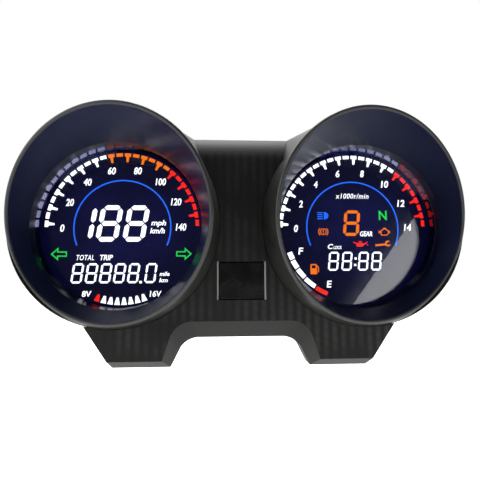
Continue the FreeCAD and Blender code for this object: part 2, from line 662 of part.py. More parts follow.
def make_neck_nut():
    """Flat hexagon nut that clamps the neck to the bowl's floor."""
    across = 2 * NECK_ROOT_R + 5.0
    radius = across / 2 / math.cos(math.radians(30))
    points = [Vector(x, BOWL_DEPTH, z) for x, z in around(-POD_X, NECK_UP, radius, range(0, 360, 60))]
    hexagon = Part.Face(Part.makePolygon(points + points[:1])).extrude(DEPTH * NUT_T)
    return hexagon.cut(rod(-POD_X, NECK_UP, NECK_ROOT_R, BOWL_DEPTH - 1, BOWL_DEPTH + NUT_T + 1))


SPINDLE_FRONT = 21.0
MAGNET_T = 6.0
MAGNET_R = 7.0


def make_drive_spindle():
    """Spindle that the cable's square end turns."""
    x = -POD_X
    back = NECK_END - NECK_SEAT_L - 1.0
    spindle = rod(x, NECK_UP, SPINDLE_R, SPINDLE_FRONT, back)
    return spindle.cut(block(x, NECK_UP, SPINDLE_SQUARE, SPINDLE_SQUARE, back - 12, back + 1))


def make_spindle_magnet():
    """Ring magnet on the spindle's inner end, read by the sensor on the board."""
    return tube(-POD_X, NECK_UP, MAGNET_R, SPINDLE_R, SPINDLE_FRONT, SPINDLE_FRONT + MAGNET_T)


def make_speed_sensor():
    """Three-legged magnetic sensor standing on the left board beside the magnet."""
    x = -POD_X
    up = NECK_UP + MAGNET_R + 2.0
    body = block(x, up, 4.0, 1.6, BOARD_BACK + 4.0, SPINDLE_FRONT + 3.0)
    legs = [block(x + n * 1.27, up, 0.5, 0.5, BOARD_BACK, BOARD_BACK + 4.5) for n in (-1, 0, 1)]
    return fused([body] + legs)


# ---- wiring -------------------------------------------------------------------------------------
LINK_X = POD_X - BOARD_R + 8.0
LINK_W = 14.0
LINK_SOCKET_D = 5.0


def make_link_sockets():
    """Ribbon sockets on the backs of the two boards, facing the tunnel."""
    sockets = []
    for side in SIDES.values():
        x = side * LINK_X
        body = block(x, 0, 7.0, LINK_W, BOARD_BACK, BOARD_BACK + LINK_SOCKET_D)
        slot = block(x - side * 2.5, 0, 3.0, LINK_W - 2, BOARD_BACK + 2.0, BOARD_BACK + 3.0)
        sockets.append(body.cut(slot))
    return Part.makeCompound(sockets)


LINK_FRONT = BOARD_BACK + 2.1
LINK_T = 0.8
LINK_SAG = 1.6
LINK_BACK = LINK_FRONT + LINK_SAG + LINK_T


def make_board_link():
    """Flat ribbon that joins the two boards through the tunnel, with a shallow sag in the middle."""
    start = LINK_FRONT
    thick = LINK_T
    sag = LINK_SAG
    reach = LINK_X - 1.2
    ramp = 9.0

    def line(depth):
        return [Vector(-reach, depth, 0), Vector(-reach + ramp, depth, 0), Vector(-reach + 2 * ramp, depth + sag, 0),
                Vector(reach - 2 * ramp, depth + sag, 0), Vector(reach - ramp, depth, 0), Vector(reach, depth, 0)]

    outline = line(start) + line(start + thick)[::-1]
    ribbon = Part.Face(Part.makePolygon(outline + outline[:1])).extrude(Vector(0, 0, LINK_W - 4))
    ribbon.translate(Vector(0, 0, -(LINK_W - 4) / 2))
    return ribbon


BUTTON_SLOT_Z = -7.0


def make_button_ribbon():
    """Flat ribbon from the button's board, up the fascia and through the back plate to the board link."""
    thick = 0.6
    width = 8.0
    start = BUTTON_BOARD_FRONT + BOARD_T
    low = BUTTON_HEIGHT - 4.0
    turn = BUTTON_SLOT_Z - thick / 2
    end = LINK_FRONT + LINK_SAG
    path = [(start, low), (start, turn + thick), (end - thick, turn + thick), (end - thick, 4.0), (end, 4.0),
            (end, turn), (start + thick, turn), (start + thick, low)]
    points = [Vector(-width / 2, depth, up) for depth, up in path]
    return Part.Face(Part.makePolygon(points + points[:1])).extrude(Vector(width, 0, 0))


def make_harness_socket():
    """Shrouded socket for the wiring harness plug, seated in the back of the tunnel."""
    flange = rounded_block(0, 0, SOCKET_W + 6, SOCKET_H + 5, TUNNEL_DEPTH + SOCKET_SEAL_T,
                           TUNNEL_DEPTH + SOCKET_SEAL_T + 2, 2)
    shroud = rounded_block(0, 0, SOCKET_W, SOCKET_H, TUNNEL_DEPTH - 4.5, SOCKET_END, 2)
    body = fused([flange, shroud])
    cavity = rounded_block(0, 0, SOCKET_W - 2 * SOCKET_WALL, SOCKET_H - 2 * SOCKET_WALL,
                           SOCKET_FLOOR, SOCKET_END + 1, 1)
    latch = block(0, SOCKET_H / 2 + 0.6, 8.0, 1.6, SOCKET_END - 6, SOCKET_END - 3)
    body = fused([body, latch]).cut(cavity)
    return body.cut(Part.makeCompound([rod(x, z, PIN_R, 0, SOCKET_END) for x, z in pin_spots()]))


SOCKET_SEAL_T = 1.2
SOCKET_FLOOR = TUNNEL_DEPTH + SOCKET_SEAL_T + 1.0
PIN_R = 0.5
PIN_END = SOCKET_FLOOR + 6.0


def pin_spots():
    return [((n - 3.5) * 3.0, z) for z in (-2.0, 2.0) for n in range(8)]


def make_harness_pins():
    return Part.makeCompound([rod(x, z, PIN_R, LINK_BACK, PIN_END) for x, z in pin_spots()])


def make_socket_seal():
    """Rubber frame under the harness socket's flange."""
    outer = rounded_block(0, 0, SOCKET_W + 5, SOCKET_H + 4, TUNNEL_DEPTH, TUNNEL_DEPTH + SOCKET_SEAL_T, 2)
    return outer.cut(block(0, 0, SOCKET_W + 0.2, SOCKET_H + 0.2, TUNNEL_DEPTH - 1, TUNNEL_DEPTH + 3))


# ---- other electronics --------------------------------------------------------------------------
def make_capacitors():
    """Two upright electrolytic capacitors on the right board."""
    cans = []
    for n, up in enumerate((-22.0, -34.0)):
        can = rod(POD_X + 6 * n, up, 4.0, BOARD_BACK, BOARD_BACK + 11)
        cans.append(can.makeFillet(0.6, [e for e in can.Edges if abs(e.CenterOfMass.y - BOARD_BACK - 11) < EPS]))
    return Part.makeCompound(cans)


def make_voltage_regulator():
    """Flat power package with its tab, on the right board."""
    x = POD_X - 18
    body = block(x, -24, 9, 8, BOARD_BACK, BOARD_BACK + 4)
    tab = block(x, -18, 9, 5, BOARD_BACK, BOARD_BACK + 1.2)
    return fused([body, tab])


# ---- fasteners ----------------------------------------------------------------------------------
def screw(x, z, radius, head_r, head_t, seat, length):
    """A pan-head cross-recess screw whose head sits on a face at this depth and points forwards."""
    head = rod(x, z, head_r, seat, seat + head_t)
    head = head.makeFillet(head_t * 0.45, [e for e in head.Edges if abs(e.CenterOfMass.y - seat - head_t) < EPS])
    body = fused([rod(x, z, radius, seat - length, seat + 0.1), head])
    slot = head_r * 1.25
    cross = block(x, z, slot, slot * 0.2, seat + head_t * 0.45, seat + head_t + 1)
    cross = cross.fuse(block(x, z, slot * 0.2, slot, seat + head_t * 0.45, seat + head_t + 1))
    return body.cut(cross)


def make_case_screws():
    """Four screws through each bowl's flange into its hood."""
    spots = [p for side in SIDES.values() for p in around(side * POD_X, 0, SCREW_RING_R, (45, 135, 225, 315))]
    return Part.makeCompound([screw(x, z, SCREW_R, SCREW_HEAD_R, SCREW_HEAD_T, FLANGE_BACK, SCREW_LENGTH)
                              for x, z in spots])


def make_fascia_screws():
    """Four screws through the back plate into the fascia."""
    return Part.makeCompound([screw(x, z, SCREW_R, SCREW_HEAD_R, SCREW_HEAD_T, PLATE_BACK, SCREW_LENGTH)
                              for x, z in FASCIA_SCREWS])


def make_board_screws():
    """Small screws: four through each main board and two through the button's board."""
    head_r = 1.9
    head_t = 1.3
    screws = [screw(x, z, BOARD_SCREW_R, head_r, head_t, BOARD_BACK, 4.5)
              for side in SIDES.values()
              for x, z in around(side * POD_X, 0, BOARD_SCREW_RING_R, BOARD_SCREW_ANGLES)]
    screws += [screw(x, z, BOARD_SCREW_R, head_r, head_t, BUTTON_BOARD_FRONT + BOARD_T, 5.0)
               for x, z in button_screw_spots()]
    return Part.makeCompound(screws)


# ---- assembly -----------------------------------------------------------------------------------
def make_all():
    parts = {
        "fascia": make_fascia(),
        "rear_housing": make_rear_housing(),
        "mode_button": make_mode_button(),
        "button_membrane": make_button_membrane(),
        "button_board": make_button_board(),
        "button_ribbon": make_button_ribbon(),
        "controller_chip": make_chip(LEFT, 14.0, -28.0),
        "display_driver_chip": make_chip(RIGHT, 12.0, 12.0),
        "capacitors": make_capacitors(),
        "voltage_regulator": make_voltage_regulator(),
        "speed_sensor": make_speed_sensor(),
        "link_sockets": make_link_sockets(),
        "board_link_ribbon": make_board_link(),
        "harness_socket": make_harness_socket(),
        "harness_pins": make_harness_pins(),
        "socket_seal": make_socket_seal(),
        "cable_neck": make_cable_neck(),
        "neck_nut": make_neck_nut(),
        "drive_spindle": make_drive_spindle(),
        "spindle_magnet": make_spindle_magnet(),
        "vent_plug": make_vent_plug(),
        "stay_inserts": make_stay_inserts(),
        "stay_dampers": make_stay_dampers(),
        "case_screws": make_case_screws(),
        "fascia_screws": make_fascia_screws(),
        "board_screws": make_board_screws(),
    }
    for name, side in SIDES.items():
        parts.update({
            name + "_hood": make_hood(side),
            name + "_lens": make_lens(side),
            name + "_lens_gasket": make_lens_gasket(side),
            name + "_display_glass": make_display_glass(side),
            name + "_light_guide": make_light_guide(side),
            name + "_display_holder": make_display_holder(side),
            name + "_contact_strips": make_contact_strips(side),
            name + "_board": make_board(side),
            name + "_backlight_leds": make_backlight_leds(side),
            name + "_case_seal": make_case_seal(side),
        })
    return parts


def main():
    os.makedirs("parts", exist_ok=True)
    for name, shape in make_all().items():
        shape.translate(Vector(0, -STAY_FACE, DIAL_HEIGHT))
        good = shape.isValid() and all(solid.Volume > 0 for solid in shape.Solids)
        print(f"{name}: {len(shape.Solids)} solids, {shape.Volume:.0f} mm3, valid {good}")
        shape.exportStep(os.path.join("parts", name + ".step"))


main()
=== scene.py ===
"""Looks of a twin-pod motorcycle instrument cluster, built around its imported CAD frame.

Lengths are in millimetres where a value says so and in metres once they reach Blender. X is to the
rider's right, Y points away from the rider and Z is up. A place on a display is given as x and z from
its dial axis.
"""
import math

import bmesh
import bpy
from mathutils import Matrix, Vector


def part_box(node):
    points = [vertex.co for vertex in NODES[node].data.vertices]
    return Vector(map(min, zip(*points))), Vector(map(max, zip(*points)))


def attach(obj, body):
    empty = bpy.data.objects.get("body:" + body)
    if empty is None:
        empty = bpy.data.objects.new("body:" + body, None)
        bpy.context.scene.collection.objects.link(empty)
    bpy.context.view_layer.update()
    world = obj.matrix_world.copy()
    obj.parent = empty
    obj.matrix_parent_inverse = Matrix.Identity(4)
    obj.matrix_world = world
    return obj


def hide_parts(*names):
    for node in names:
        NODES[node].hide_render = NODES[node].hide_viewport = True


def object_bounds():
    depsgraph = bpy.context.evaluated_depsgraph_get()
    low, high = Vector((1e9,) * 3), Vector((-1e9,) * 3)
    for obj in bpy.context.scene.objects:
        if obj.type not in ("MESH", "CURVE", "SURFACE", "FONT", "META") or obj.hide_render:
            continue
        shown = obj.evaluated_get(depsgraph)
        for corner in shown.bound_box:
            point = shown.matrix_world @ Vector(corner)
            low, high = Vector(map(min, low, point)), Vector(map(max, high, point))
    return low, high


bl_info = {
    "name": "Instrument cluster looks",
    "version": (1, 0, 0),
    "blender": (4, 5, 0),
    "location": "View3D > Sidebar > Cluster",
    "description": "Finishes, lit displays and stage for a motorcycle instrument cluster",
    "category": "Object",
}

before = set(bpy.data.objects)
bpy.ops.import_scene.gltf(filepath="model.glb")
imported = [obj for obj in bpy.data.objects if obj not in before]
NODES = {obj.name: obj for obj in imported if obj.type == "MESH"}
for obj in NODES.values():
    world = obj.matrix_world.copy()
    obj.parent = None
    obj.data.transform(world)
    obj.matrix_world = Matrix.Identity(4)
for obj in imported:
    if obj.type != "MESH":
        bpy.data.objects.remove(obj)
CAD_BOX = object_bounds()
MM = 0.001
CASE = "case"
SIDES = ("left", "right")


def middle(node):
    low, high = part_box(node)
    return (Vector(low) + Vector(high)) / 2


DIAL = {side: middle(side + "_display_glass") for side in SIDES}
GLASS_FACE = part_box("left_display_glass")[0][1]
LENS_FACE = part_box("left_lens")[0][1]
LCD_EDGE = 1.0          # of the glass, hidden under the hood
THROAT_MARGIN = 5.9     # of the lip's inner edge past what is seen of the glass
SIGHT_R = (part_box("left_display_glass")[1][0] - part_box("left_display_glass")[0][0]) / 2 / MM - LCD_EDGE
LIP_INNER_R = SIGHT_R + THROAT_MARGIN


def linear(code):
    """Linear red, green, blue and alpha from an sRGB hex colour."""
    values = [int(code[i:i + 2], 16) / 255 for i in (1, 3, 5)]
    return tuple(v / 12.92 if v <= 0.04045 else ((v + 0.055) / 1.055) ** 2.4 for v in values) + (1.0,)


# ---- settings -----------------------------------------------------------------------------------
def colour_setting(label, code, note):
    return bpy.props.FloatVectorProperty(
        name=label, description=note, default=linear(code), size=4, subtype="COLOR", min=0.0, max=1.0)


def length_setting(label, value, note):
    return bpy.props.FloatProperty(
        name=label, description=note, default=value * MM, unit="LENGTH", subtype="DISTANCE", min=0.0)


class ClusterColours(bpy.types.PropertyGroup):
    hood: colour_setting("Hoods", "#1d1e1c", "Moulded plastic of the hoods")
    # the throat's blue is a painted glow of the displays on black plastic
    throat: colour_setting("Hood throat", "#06081a", "Polished inside of the hoods")
    fascia: colour_setting("Fascia", "#171817", "Woven-look plastic of the bridge and legs")
    button: colour_setting("Button", "#0d0d0e", "Smooth plastic of the mode button")
    housing: colour_setting("Rear housing", "#191a1b", "Moulded plastic of the rear housing")
    glass: colour_setting("Display glass", "#04050b", "Unlit display")
    glow: colour_setting("Display glow", "#191b5c", "Stray light round the lit figures")
    white: colour_setting("White figures", "#fbfcff", "Lit figures")
    orange: colour_setting("Orange figures", "#ff7a08", "Lit warning figures")
    red: colour_setting("Red figures", "#ff2617", "Lit limit figures")
    blue: colour_setting("Blue arc", "#1f6cff", "Lit arc")
    green: colour_setting("Green figures", "#1fd84f", "Lit direction arrows and neutral lamp")
    floor: colour_setting("Floor", "#f7f7f5", "Studio floor")


class DisplaySizes(bpy.types.PropertyGroup):
    ring: length_setting("Scale radius", 45.6, "Outer radius of the scale's ticks")
    ring_band: length_setting("Scale band", 2.1, "Width of the scale's dashes")
    tick: length_setting("Tick length", 3.5, "How far a tick reaches in from its head")
    arc: length_setting("Arc radius", 29.0, "Outer radius of the blue arc")
    arc_band: length_setting("Arc width", 0.8, "Width of the blue arc")
    figure: length_setting("Speed figures", 21.9, "Height of the speed figures")
    relief: length_setting("Relief", 0.05, "How far lit shapes stand off the glass")


class StageSettings(bpy.types.PropertyGroup):
    camera_reach: length_setting("Camera distance", 225.0, "From the dials' plane to the camera")
    camera_drop: length_setting("Camera drop", 30.0, "Camera below the dial axes")
    camera_left: length_setting("Camera offset", 11.1, "Camera to the left of the middle")
    lens: bpy.props.FloatProperty(
        name="Focal length", description="Camera lens in mm", default=28.09, unit="CAMERA", min=1.0)
    floor_drop: length_setting("Floor drop", 60.0, "Floor below the legs")


# ---- node and mesh helpers ----------------------------------------------------------------------
MATH = "ShaderNodeMath"
MIX = "ShaderNodeMix"
NOISE = "ShaderNodeTexNoise"
RANGE = "ShaderNodeMapRange"


def plug(tree, source, socket):
    """Feeds a socket from a value, an output, or a node's first output in use."""
    if isinstance(source, bpy.types.Node):
        source = next(output for output in source.outputs if output.enabled)
    if isinstance(source, bpy.types.NodeSocket):
        tree.links.new(source, socket)
    else:
        socket.default_value = source


def add(tree, kind, sources=(), **settings):
    """Adds a node with its settings. sources feed its sockets in use, by name or in their order."""
    made = tree.nodes.new(kind)
    for key, value in settings.items():
        setattr(made, key, value)
    sockets = [socket for socket in made.inputs if socket.enabled]
    if not isinstance(sources, dict):
        sources = dict(zip((socket.identifier for socket in sockets), sources))
    for key, source in sources.items():
        plug(tree, source, next(socket for socket in sockets if key in (socket.name, socket.identifier)))
    return made


def feed(tree, shader, **sources):
    """Feeds the shader's sockets, named with underscores for their spaces."""
    for key, source in sources.items():
        plug(tree, source, shader.inputs[key.replace("_", " ")])


def new_finish(name, **constants):
    """A new material, its node tree and its shader, with the sockets that are the same all over it."""
    material = bpy.data.materials.new(name)
    material.use_nodes = True
    tree = material.node_tree
    shader = next(n for n in tree.nodes if n.type == "BSDF_PRINCIPLED")
    feed(tree, shader, **constants)
    return material, tree, shader


def where(tree):
    """The position on the cluster in metres, whole and as X, Y and Z."""
    spot = add(tree, "ShaderNodeTexCoord").outputs["Object"]
    return spot, add(tree, "ShaderNodeSeparateXYZ", [spot]).outputs


def lumps(size_mm):
    """The noise scale whose lumps are this wide."""
    return 1 / (size_mm * MM)


def brighter(colour, factor):
    return tuple(min(1.0, c * factor) for c in colour[:3]) + (1.0,)


def from_dial_axis(tree, xyz):
    """Distance from the dial axis on this surface's side of the middle, in metres."""
    aside = add(tree, MATH, [xyz["X"]], operation="ABSOLUTE")
    across = add(tree, MATH, [aside, abs(DIAL["left"].x)], operation="SUBTRACT")
    up = add(tree, MATH, [xyz["Z"], DIAL["left"].z], operation="SUBTRACT")
    flat = add(tree, "ShaderNodeCombineXYZ", [across, up])
    return add(tree, "ShaderNodeVectorMath", [flat], operation="LENGTH")


def dress(material, *names):
    """Gives CAD nodes a finish."""
    for name in names:
        for holder in NODES[name].material_slots:
            holder.material = material


def piece(name, mesh, material, body=CASE):
    """A new object on a body, with its finish."""
    made = bpy.data.objects.new(name, mesh)
    bpy.context.scene.collection.objects.link(made)
    mesh.materials.clear()
    mesh.materials.append(material)
    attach(made, body)
    return made


def plate(name, side, outlines, material):
    """Thin lit shapes on a display's glass, from outlines of x and z in mm."""
    sizes = bpy.context.scene.cluster_displays
    centre = DIAL[side]
    back = GLASS_FACE
    front = back - sizes.relief
    form = bmesh.new()
    for outline in outlines:
        spots = [(centre.x + x * MM, centre.z + z * MM) for x, z in outline]
        rear = [form.verts.new((x, back, z)) for x, z in spots]
        face = [form.verts.new((x, front, z)) for x, z in spots]
        form.faces.new(face)
        form.faces.new(rear[::-1])
        for i in range(len(spots)):
            j = (i + 1) % len(spots)
            form.faces.new((face[i], rear[i], rear[j], face[j]))
    bmesh.ops.recalc_face_normals(form, faces=form.faces)
    bmesh.ops.triangulate(form, faces=[f for f in form.faces if len(f.verts) > 4])
    mesh = bpy.data.meshes.new(name)
    form.to_mesh(mesh)
    form.free()
    return piece(name, mesh, material)


FONT_SIZE = 1.38        # of the font's body to its capitals


def lettering(name, side, words, material):
    """Figures and unit signs: each is text, x, z, height, width and lean, centred on its place.

    A longer word is spaced wider and drawn thinner, so that its letters stay apart.
    """
    sizes = bpy.context.scene.cluster_displays
    centre = DIAL[side]
    form = bmesh.new()
    for text, x, z, height, width, lean in words:
        curve = bpy.data.curves.new(name, "FONT")
        curve.body = text
        curve.size = height * MM * FONT_SIZE
        curve.align_x = "CENTER"
        curve.shear = lean
        spacing, weight = (1.08, 0.01) if len(text) > 4 else (1.0, 0.03)
        curve.space_character = spacing
        curve.offset = height * MM * weight
        curve.extrude = sizes.relief / 2
        curve.resolution_u = 3
        holder = bpy.data.objects.new(name, curve)
        mesh = bpy.data.meshes.new_from_object(holder)
        start = Vector((centre.x + x * MM, GLASS_FACE - sizes.relief / 2, centre.z + (z - height / 2) * MM))
        across = [v.co.x for v in mesh.vertices]
        centred = Matrix.Translation((-(min(across) + max(across)) / 2, 0, 0))
        fitted = Matrix.Diagonal((width * MM / (max(across) - min(across)), 1.0, 1.0, 1.0))
        mesh.transform(Matrix.Translation(start) @ Matrix.Rotation(math.pi / 2, 4, "X") @ fitted @ centred)
        form.from_mesh(mesh)
        bpy.data.objects.remove(holder)
        bpy.data.curves.remove(curve)
        bpy.data.meshes.remove(mesh)
    bmesh.ops.remove_doubles(form, verts=form.verts, dist=1e-7)
    mesh = bpy.data.meshes.new(name)
    form.to_mesh(mesh)
    form.free()
    return piece(name, mesh, material)


def polar(radius, degrees):
    return radius * math.cos(math.radians(degrees)), radius * math.sin(math.radians(degrees))


def band(inner, outer, start, end, step=2.0):
    """Outline of a stretch of a ring."""
    count = max(1, math.ceil(abs(end - start) / step))
    turns = [start + (end - start) * i / count for i in range(count + 1)]
    return [polar(outer, a) for a in turns] + [polar(inner, a) for a in reversed(turns)]


def bands(inner, outer, start, end, step=2.0):
    """The same stretch as short pieces, so that a long thin one stays flat and even."""
    count = max(1, math.ceil(abs(end - start) / step))
    edges = [start + (end - start) * i / count for i in range(count + 1)]
    return [band(inner, outer, a, b, step) for a, b in zip(edges, edges[1:])]


# Bars of a seven-bar figure: where each starts and ends in a box one wide and two high.
BARS = {"a": ((0, 2), (1, 2)), "b": ((1, 2), (1, 1)), "c": ((1, 1), (1, 0)), "d": ((0, 0), (1, 0)),
        "e": ((0, 1), (0, 0)), "f": ((0, 2), (0, 1)), "g": ((0, 1), (1, 1))}
LIT = {"0": "abcdef", "1": "bc", "8": "abcdefg"}


def seven_bar(figure, x, z, width, height, stroke, lean):
    """Outlines of one figure whose lower left corner is at x and z. Its bars are pointed and stand apart."""
    gap = stroke * 0.16
    half = stroke / 2
    wide = width - stroke
    high = (height - stroke) / 2
    shapes = []
    for bar in LIT[figure]:
        (ax, az), (bx, bz) = BARS[bar]
        a = Vector((half + ax * wide, half + az * high))
        b = Vector((half + bx * wide, half + bz * high))
        along = (b - a).normalized()
        side = Vector((-along.y, along.x)) * half
        a += along * gap
        b -= along * gap
        points = [a, a + along * half + side, b - along * half + side, b, b - along * half - side,
                  a + along * half - side]
        shapes.append([(x + p.x + lean * p.y, z + p.y) for p in points])
    return shapes


def figures(marks, z, width, height, stroke, lean):
    """Outlines of seven-bar figures, a colon or a point, each given with its left edge."""
    shapes = []
    for mark, x in marks:
        if mark in LIT:
            shapes += seven_bar(mark, x, z, width, height, stroke, lean)
            continue
        half = stroke * 0.6
        for level in ((0.3, 0.64) if mark == ":" else (0.05,)):
            at = z + height * level
            near = x + lean * height * level
            shapes.append([(near - half, at - half), (near + half, at - half),
                           (near + half, at + half), (near - half, at + half)])
    return shapes


# ---- finishes -----------------------------------------------------------------------------------
def satin_abs_hood():
    """ABS moulded against a lightly textured tool: soft highlights outside, and a polished black throat,
    painted blue-black with the displays' glow and lighter towards the lip as painted light.

    A narrow ring of the throat next to the lens is bright, and mirrors the scale in blue.
    """
    colours = bpy.context.scene.cluster_colours
    material, tree, shader = new_finish("abs_moulded_satin", IOR=1.53)
    spot, xyz = where(tree)
    radius = from_dial_axis(tree, xyz)
    inside = add(tree, RANGE, [radius, (LIP_INNER_R + 0.5) * MM, (LIP_INNER_R - 0.3) * MM, 0.0, 1.0])
    ahead = add(tree, MATH, [LENS_FACE, xyz["Y"]], operation="SUBTRACT")
    near_dial = add(tree, RANGE, [ahead, 0.0, 22 * MM, 1.0, 0.0], interpolation_type="SMOOTHSTEP")
    upper = add(tree, RANGE, [xyz["Z"], DIAL["left"].z - 36 * MM, DIAL["left"].z - 28 * MM, 0.0, 1.0])
    ring = add(tree, RANGE, [ahead, 6.0 * MM, 6.8 * MM, 1.0, 0.0])
    upper_ring = add(tree, MATH, [ring, upper], operation="MULTIPLY")
    mirror = add(tree, MATH, [inside, upper_ring], operation="MULTIPLY")
    # painted shade: the lip's flat face, which faces the rider, is drawn darker than the rounded edges beside
    # it
    facing = add(tree, "ShaderNodeNewGeometry").outputs["Normal"]
    normal = add(tree, "ShaderNodeSeparateXYZ", [facing]).outputs
    lip = add(tree, RANGE, [normal["Y"], -0.985, -0.9, 1.0, 0.0])
    patches = add(tree, NOISE, [spot, lumps(18), 3.0])
    shade = add(tree, RANGE, [patches, 0.35, 0.65, 0.0, 1.0])
    outer = add(tree, MIX, [shade, colours.hood, brighter(colours.hood, 1.35)], data_type="RGBA")
    outer = add(tree, MIX, [lip, outer, brighter(colours.hood, 0.4)], data_type="RGBA")
    # painted light: the throat is black plastic drawn blue-black for the displays' painted glow, darkest next
    # to the lens and lighter towards the lip, where more light falls in
    wall = add(tree, MIX, [near_dial, linear("#11162a"), colours.throat], data_type="RGBA")
    wall = add(tree, MIX, [mirror, wall, linear("#7c7d90")], data_type="RGBA")
    satin = add(tree, RANGE, [patches, 0.3, 0.7, 0.34, 0.44])
    polished = add(tree, RANGE, [mirror, 0.0, 1.0, 0.3, 0.05])
    feed(tree, shader, Metallic=mirror,
         Base_Color=add(tree, MIX, [inside, outer, wall], data_type="RGBA"),
         Roughness=add(tree, MIX, [inside, satin, polished]),
         Specular_Tint=add(tree, MIX, [inside, linear("#ffffff"), linear("#8086b8")], data_type="RGBA"))
    # the tool's texture is 0.1 mm; it is drawn 0.35 mm wide so that it shows
    fine = add(tree, NOISE, [spot, lumps(0.35), 1.0])
    outside = add(tree, MATH, [1.0, inside], operation="SUBTRACT")
    height = add(tree, MATH, [fine, outside], operation="MULTIPLY")
    feed(tree, shader,
         Normal=add(tree, "ShaderNodeBump", {"Height": height, "Distance": 0.012 * MM, "Strength": 1.0}))
    return material


def woven_abs_fascia():
    """ABS with a carbon-weave texture: the upright tows carry a painted sheen on their crowns, and the
    bevelled edges are plain.
    """
    colours = bpy.context.scene.cluster_colours
    material, tree, shader = new_finish("abs_moulded_weave", IOR=1.5, Specular_IOR_Level=0.22)
    spot, xyz = where(tree)
    facing = add(tree, "ShaderNodeTexCoord").outputs["Normal"]
    normal = add(tree, "ShaderNodeSeparateXYZ", [facing]).outputs
    flat = add(tree, RANGE, [normal["Y"], -0.97, -0.99, 0.0, 1.0])
    tow = 2.4 * MM
    u = add(tree, MATH, [xyz["X"], tow], operation="DIVIDE")
    v = add(tree, MATH, [xyz["Z"], tow], operation="DIVIDE")
    # every other pair of tows is set off by one block
    pair = add(tree, MATH, [add(tree, MATH, [u, 2.0], operation="DIVIDE")], operation="FLOOR")
    stagger = add(tree, MATH, [v, pair], operation="ADD")
    crown_u = add(tree, MATH, [u, 1.0], operation="PINGPONG")
    crown_v = add(tree, MATH, [stagger, 1.0], operation="PINGPONG")
    tows = add(tree, RANGE, [crown_u, 0.15, 0.85, 0.0, 1.0], interpolation_type="SMOOTHSTEP")
    blocks = add(tree, RANGE, [crown_v, 0.1, 0.6, 0.7, 1.0], interpolation_type="SMOOTHSTEP")
    worn = add(tree, NOISE, [spot, lumps(30), 2.0])
    patches = add(tree, RANGE, [worn, 0.4, 0.6, 0.1, 1.0], interpolation_type="SMOOTHSTEP")
    cloth = add(tree, MATH, [tows, blocks], operation="MULTIPLY")
    weave = add(tree, MATH, [cloth, patches], operation="MULTIPLY")
    # partly pattern, partly painted sheen: the tows are drawn lighter on their crowns and darker at their
    # sides and block ends
    low, high = brighter(colours.fascia, 0.5), brighter(colours.fascia, 1.9)
    woven = add(tree, MIX, [weave, low, high], data_type="RGBA")
    slow = add(tree, NOISE, [spot, lumps(12), 2.0])
    low, high = brighter(colours.fascia, 0.9), brighter(colours.fascia, 1.3)
    plain = add(tree, MIX, [slow, low, high], data_type="RGBA")
    # painted highlight: the upright edges of the button's opening are drawn pale, as lines of light, and made
    # shiny
    aside = add(tree, MATH, [xyz["X"]], operation="ABSOLUTE")
    beside = add(tree, RANGE, [aside, 13.5 * MM, 14.5 * MM, 1.0, 0.0])
    sideways = add(tree, MATH, [normal["X"]], operation="ABSOLUTE")
    edge = add(tree, RANGE, [sideways, 0.5, 0.65, 0.0, 1.0])
    painted_edge_highlight = add(tree, MATH, [beside, edge], operation="MULTIPLY")
    body = add(tree, MIX, [flat, plain, woven], data_type="RGBA")
    flat_weave = add(tree, MATH, [weave, flat], operation="MULTIPLY")
    sheen = add(tree, MATH, [painted_edge_highlight, flat_weave], operation="MAXIMUM")
    height = add(tree, MATH, [tows, flat], operation="MULTIPLY")
    feed(tree, shader,
         Base_Color=add(tree, MIX, [painted_edge_highlight, body, linear("#8b8b88")], data_type="RGBA"),
         Roughness=add(tree, RANGE, [sheen, 0.0, 1.0, 0.62, 0.42]),
         Normal=add(tree, "ShaderNodeBump", {"Height": height, "Distance": 0.06 * MM, "Strength": 0.6}))
    return material


def moulded(name, colour, grain_mm, rough, depth_mm=0.012, tint=1.3, ior=1.5):
    """A moulded plastic or rubber: its tool's grain, with a slow change in colour and sheen."""
    material, tree, shader = new_finish(name, IOR=ior)
    spot = where(tree)[0]
    slow = add(tree, RANGE, [add(tree, NOISE, [spot, lumps(grain_mm * 30), 3.0]), 0.35, 0.65, 0.0, 1.0])
    fine = add(tree, NOISE, [spot, lumps(grain_mm), 2.0])
    feed(tree, shader,
         Base_Color=add(tree, MIX, [slow, colour, brighter(colour, tint)], data_type="RGBA"),
         Roughness=add(tree, RANGE, [slow, 0.0, 1.0, rough, rough + 0.1]),
         Normal=add(tree, "ShaderNodeBump", {"Height": fine, "Distance": depth_mm * MM, "Strength": 1.0}))
    return material


def metal(name, code, rough, line_mm, along="Y"):
    """A worked metal whose tool marks run round or along it."""
    material, tree, shader = new_finish(name, Metallic=1.0)
    stretch = {"X": (0.05, 1, 1), "Y": (1, 0.05, 1), "Z": (1, 1, 0.05)}[along]
    drawn = add(tree, "ShaderNodeMapping", {"Vector": where(tree)[0], "Scale": stretch})
    lines = add(tree, NOISE, [drawn, lumps(line_mm), 3.0])
    shade = add(tree, RANGE, [lines, 0.3, 0.7, 0.0, 1.0])
    colour = linear(code)
    feed(tree, shader,
         Base_Color=add(tree, MIX, [shade, brighter(colour, 0.8), colour], data_type="RGBA"),
         Roughness=add(tree, RANGE, [lines, 0.3, 0.7, rough, rough + 0.15]),
         Normal=add(tree, "ShaderNodeBump", {"Height": lines, "Distance": 0.01 * MM, "Strength": 1.0}))
    return material


def polished_acrylic():
    """PMMA moulded in a mirror-polished tool: clear, with a faint haze from handling."""
    material, tree, shader = new_finish("pmma_polished", IOR=1.49, Transmission_Weight=1.0)
    haze = add(tree, NOISE, [where(tree)[0], lumps(14), 3.0])
    feed(tree, shader,
         Roughness=add(tree, RANGE, [haze, 0.45, 0.7, 0.0, 0.02]),
         Base_Color=add(tree, MIX, [haze, linear("#f7f9ff"), linear("#ffffff")], data_type="RGBA"))
    return material


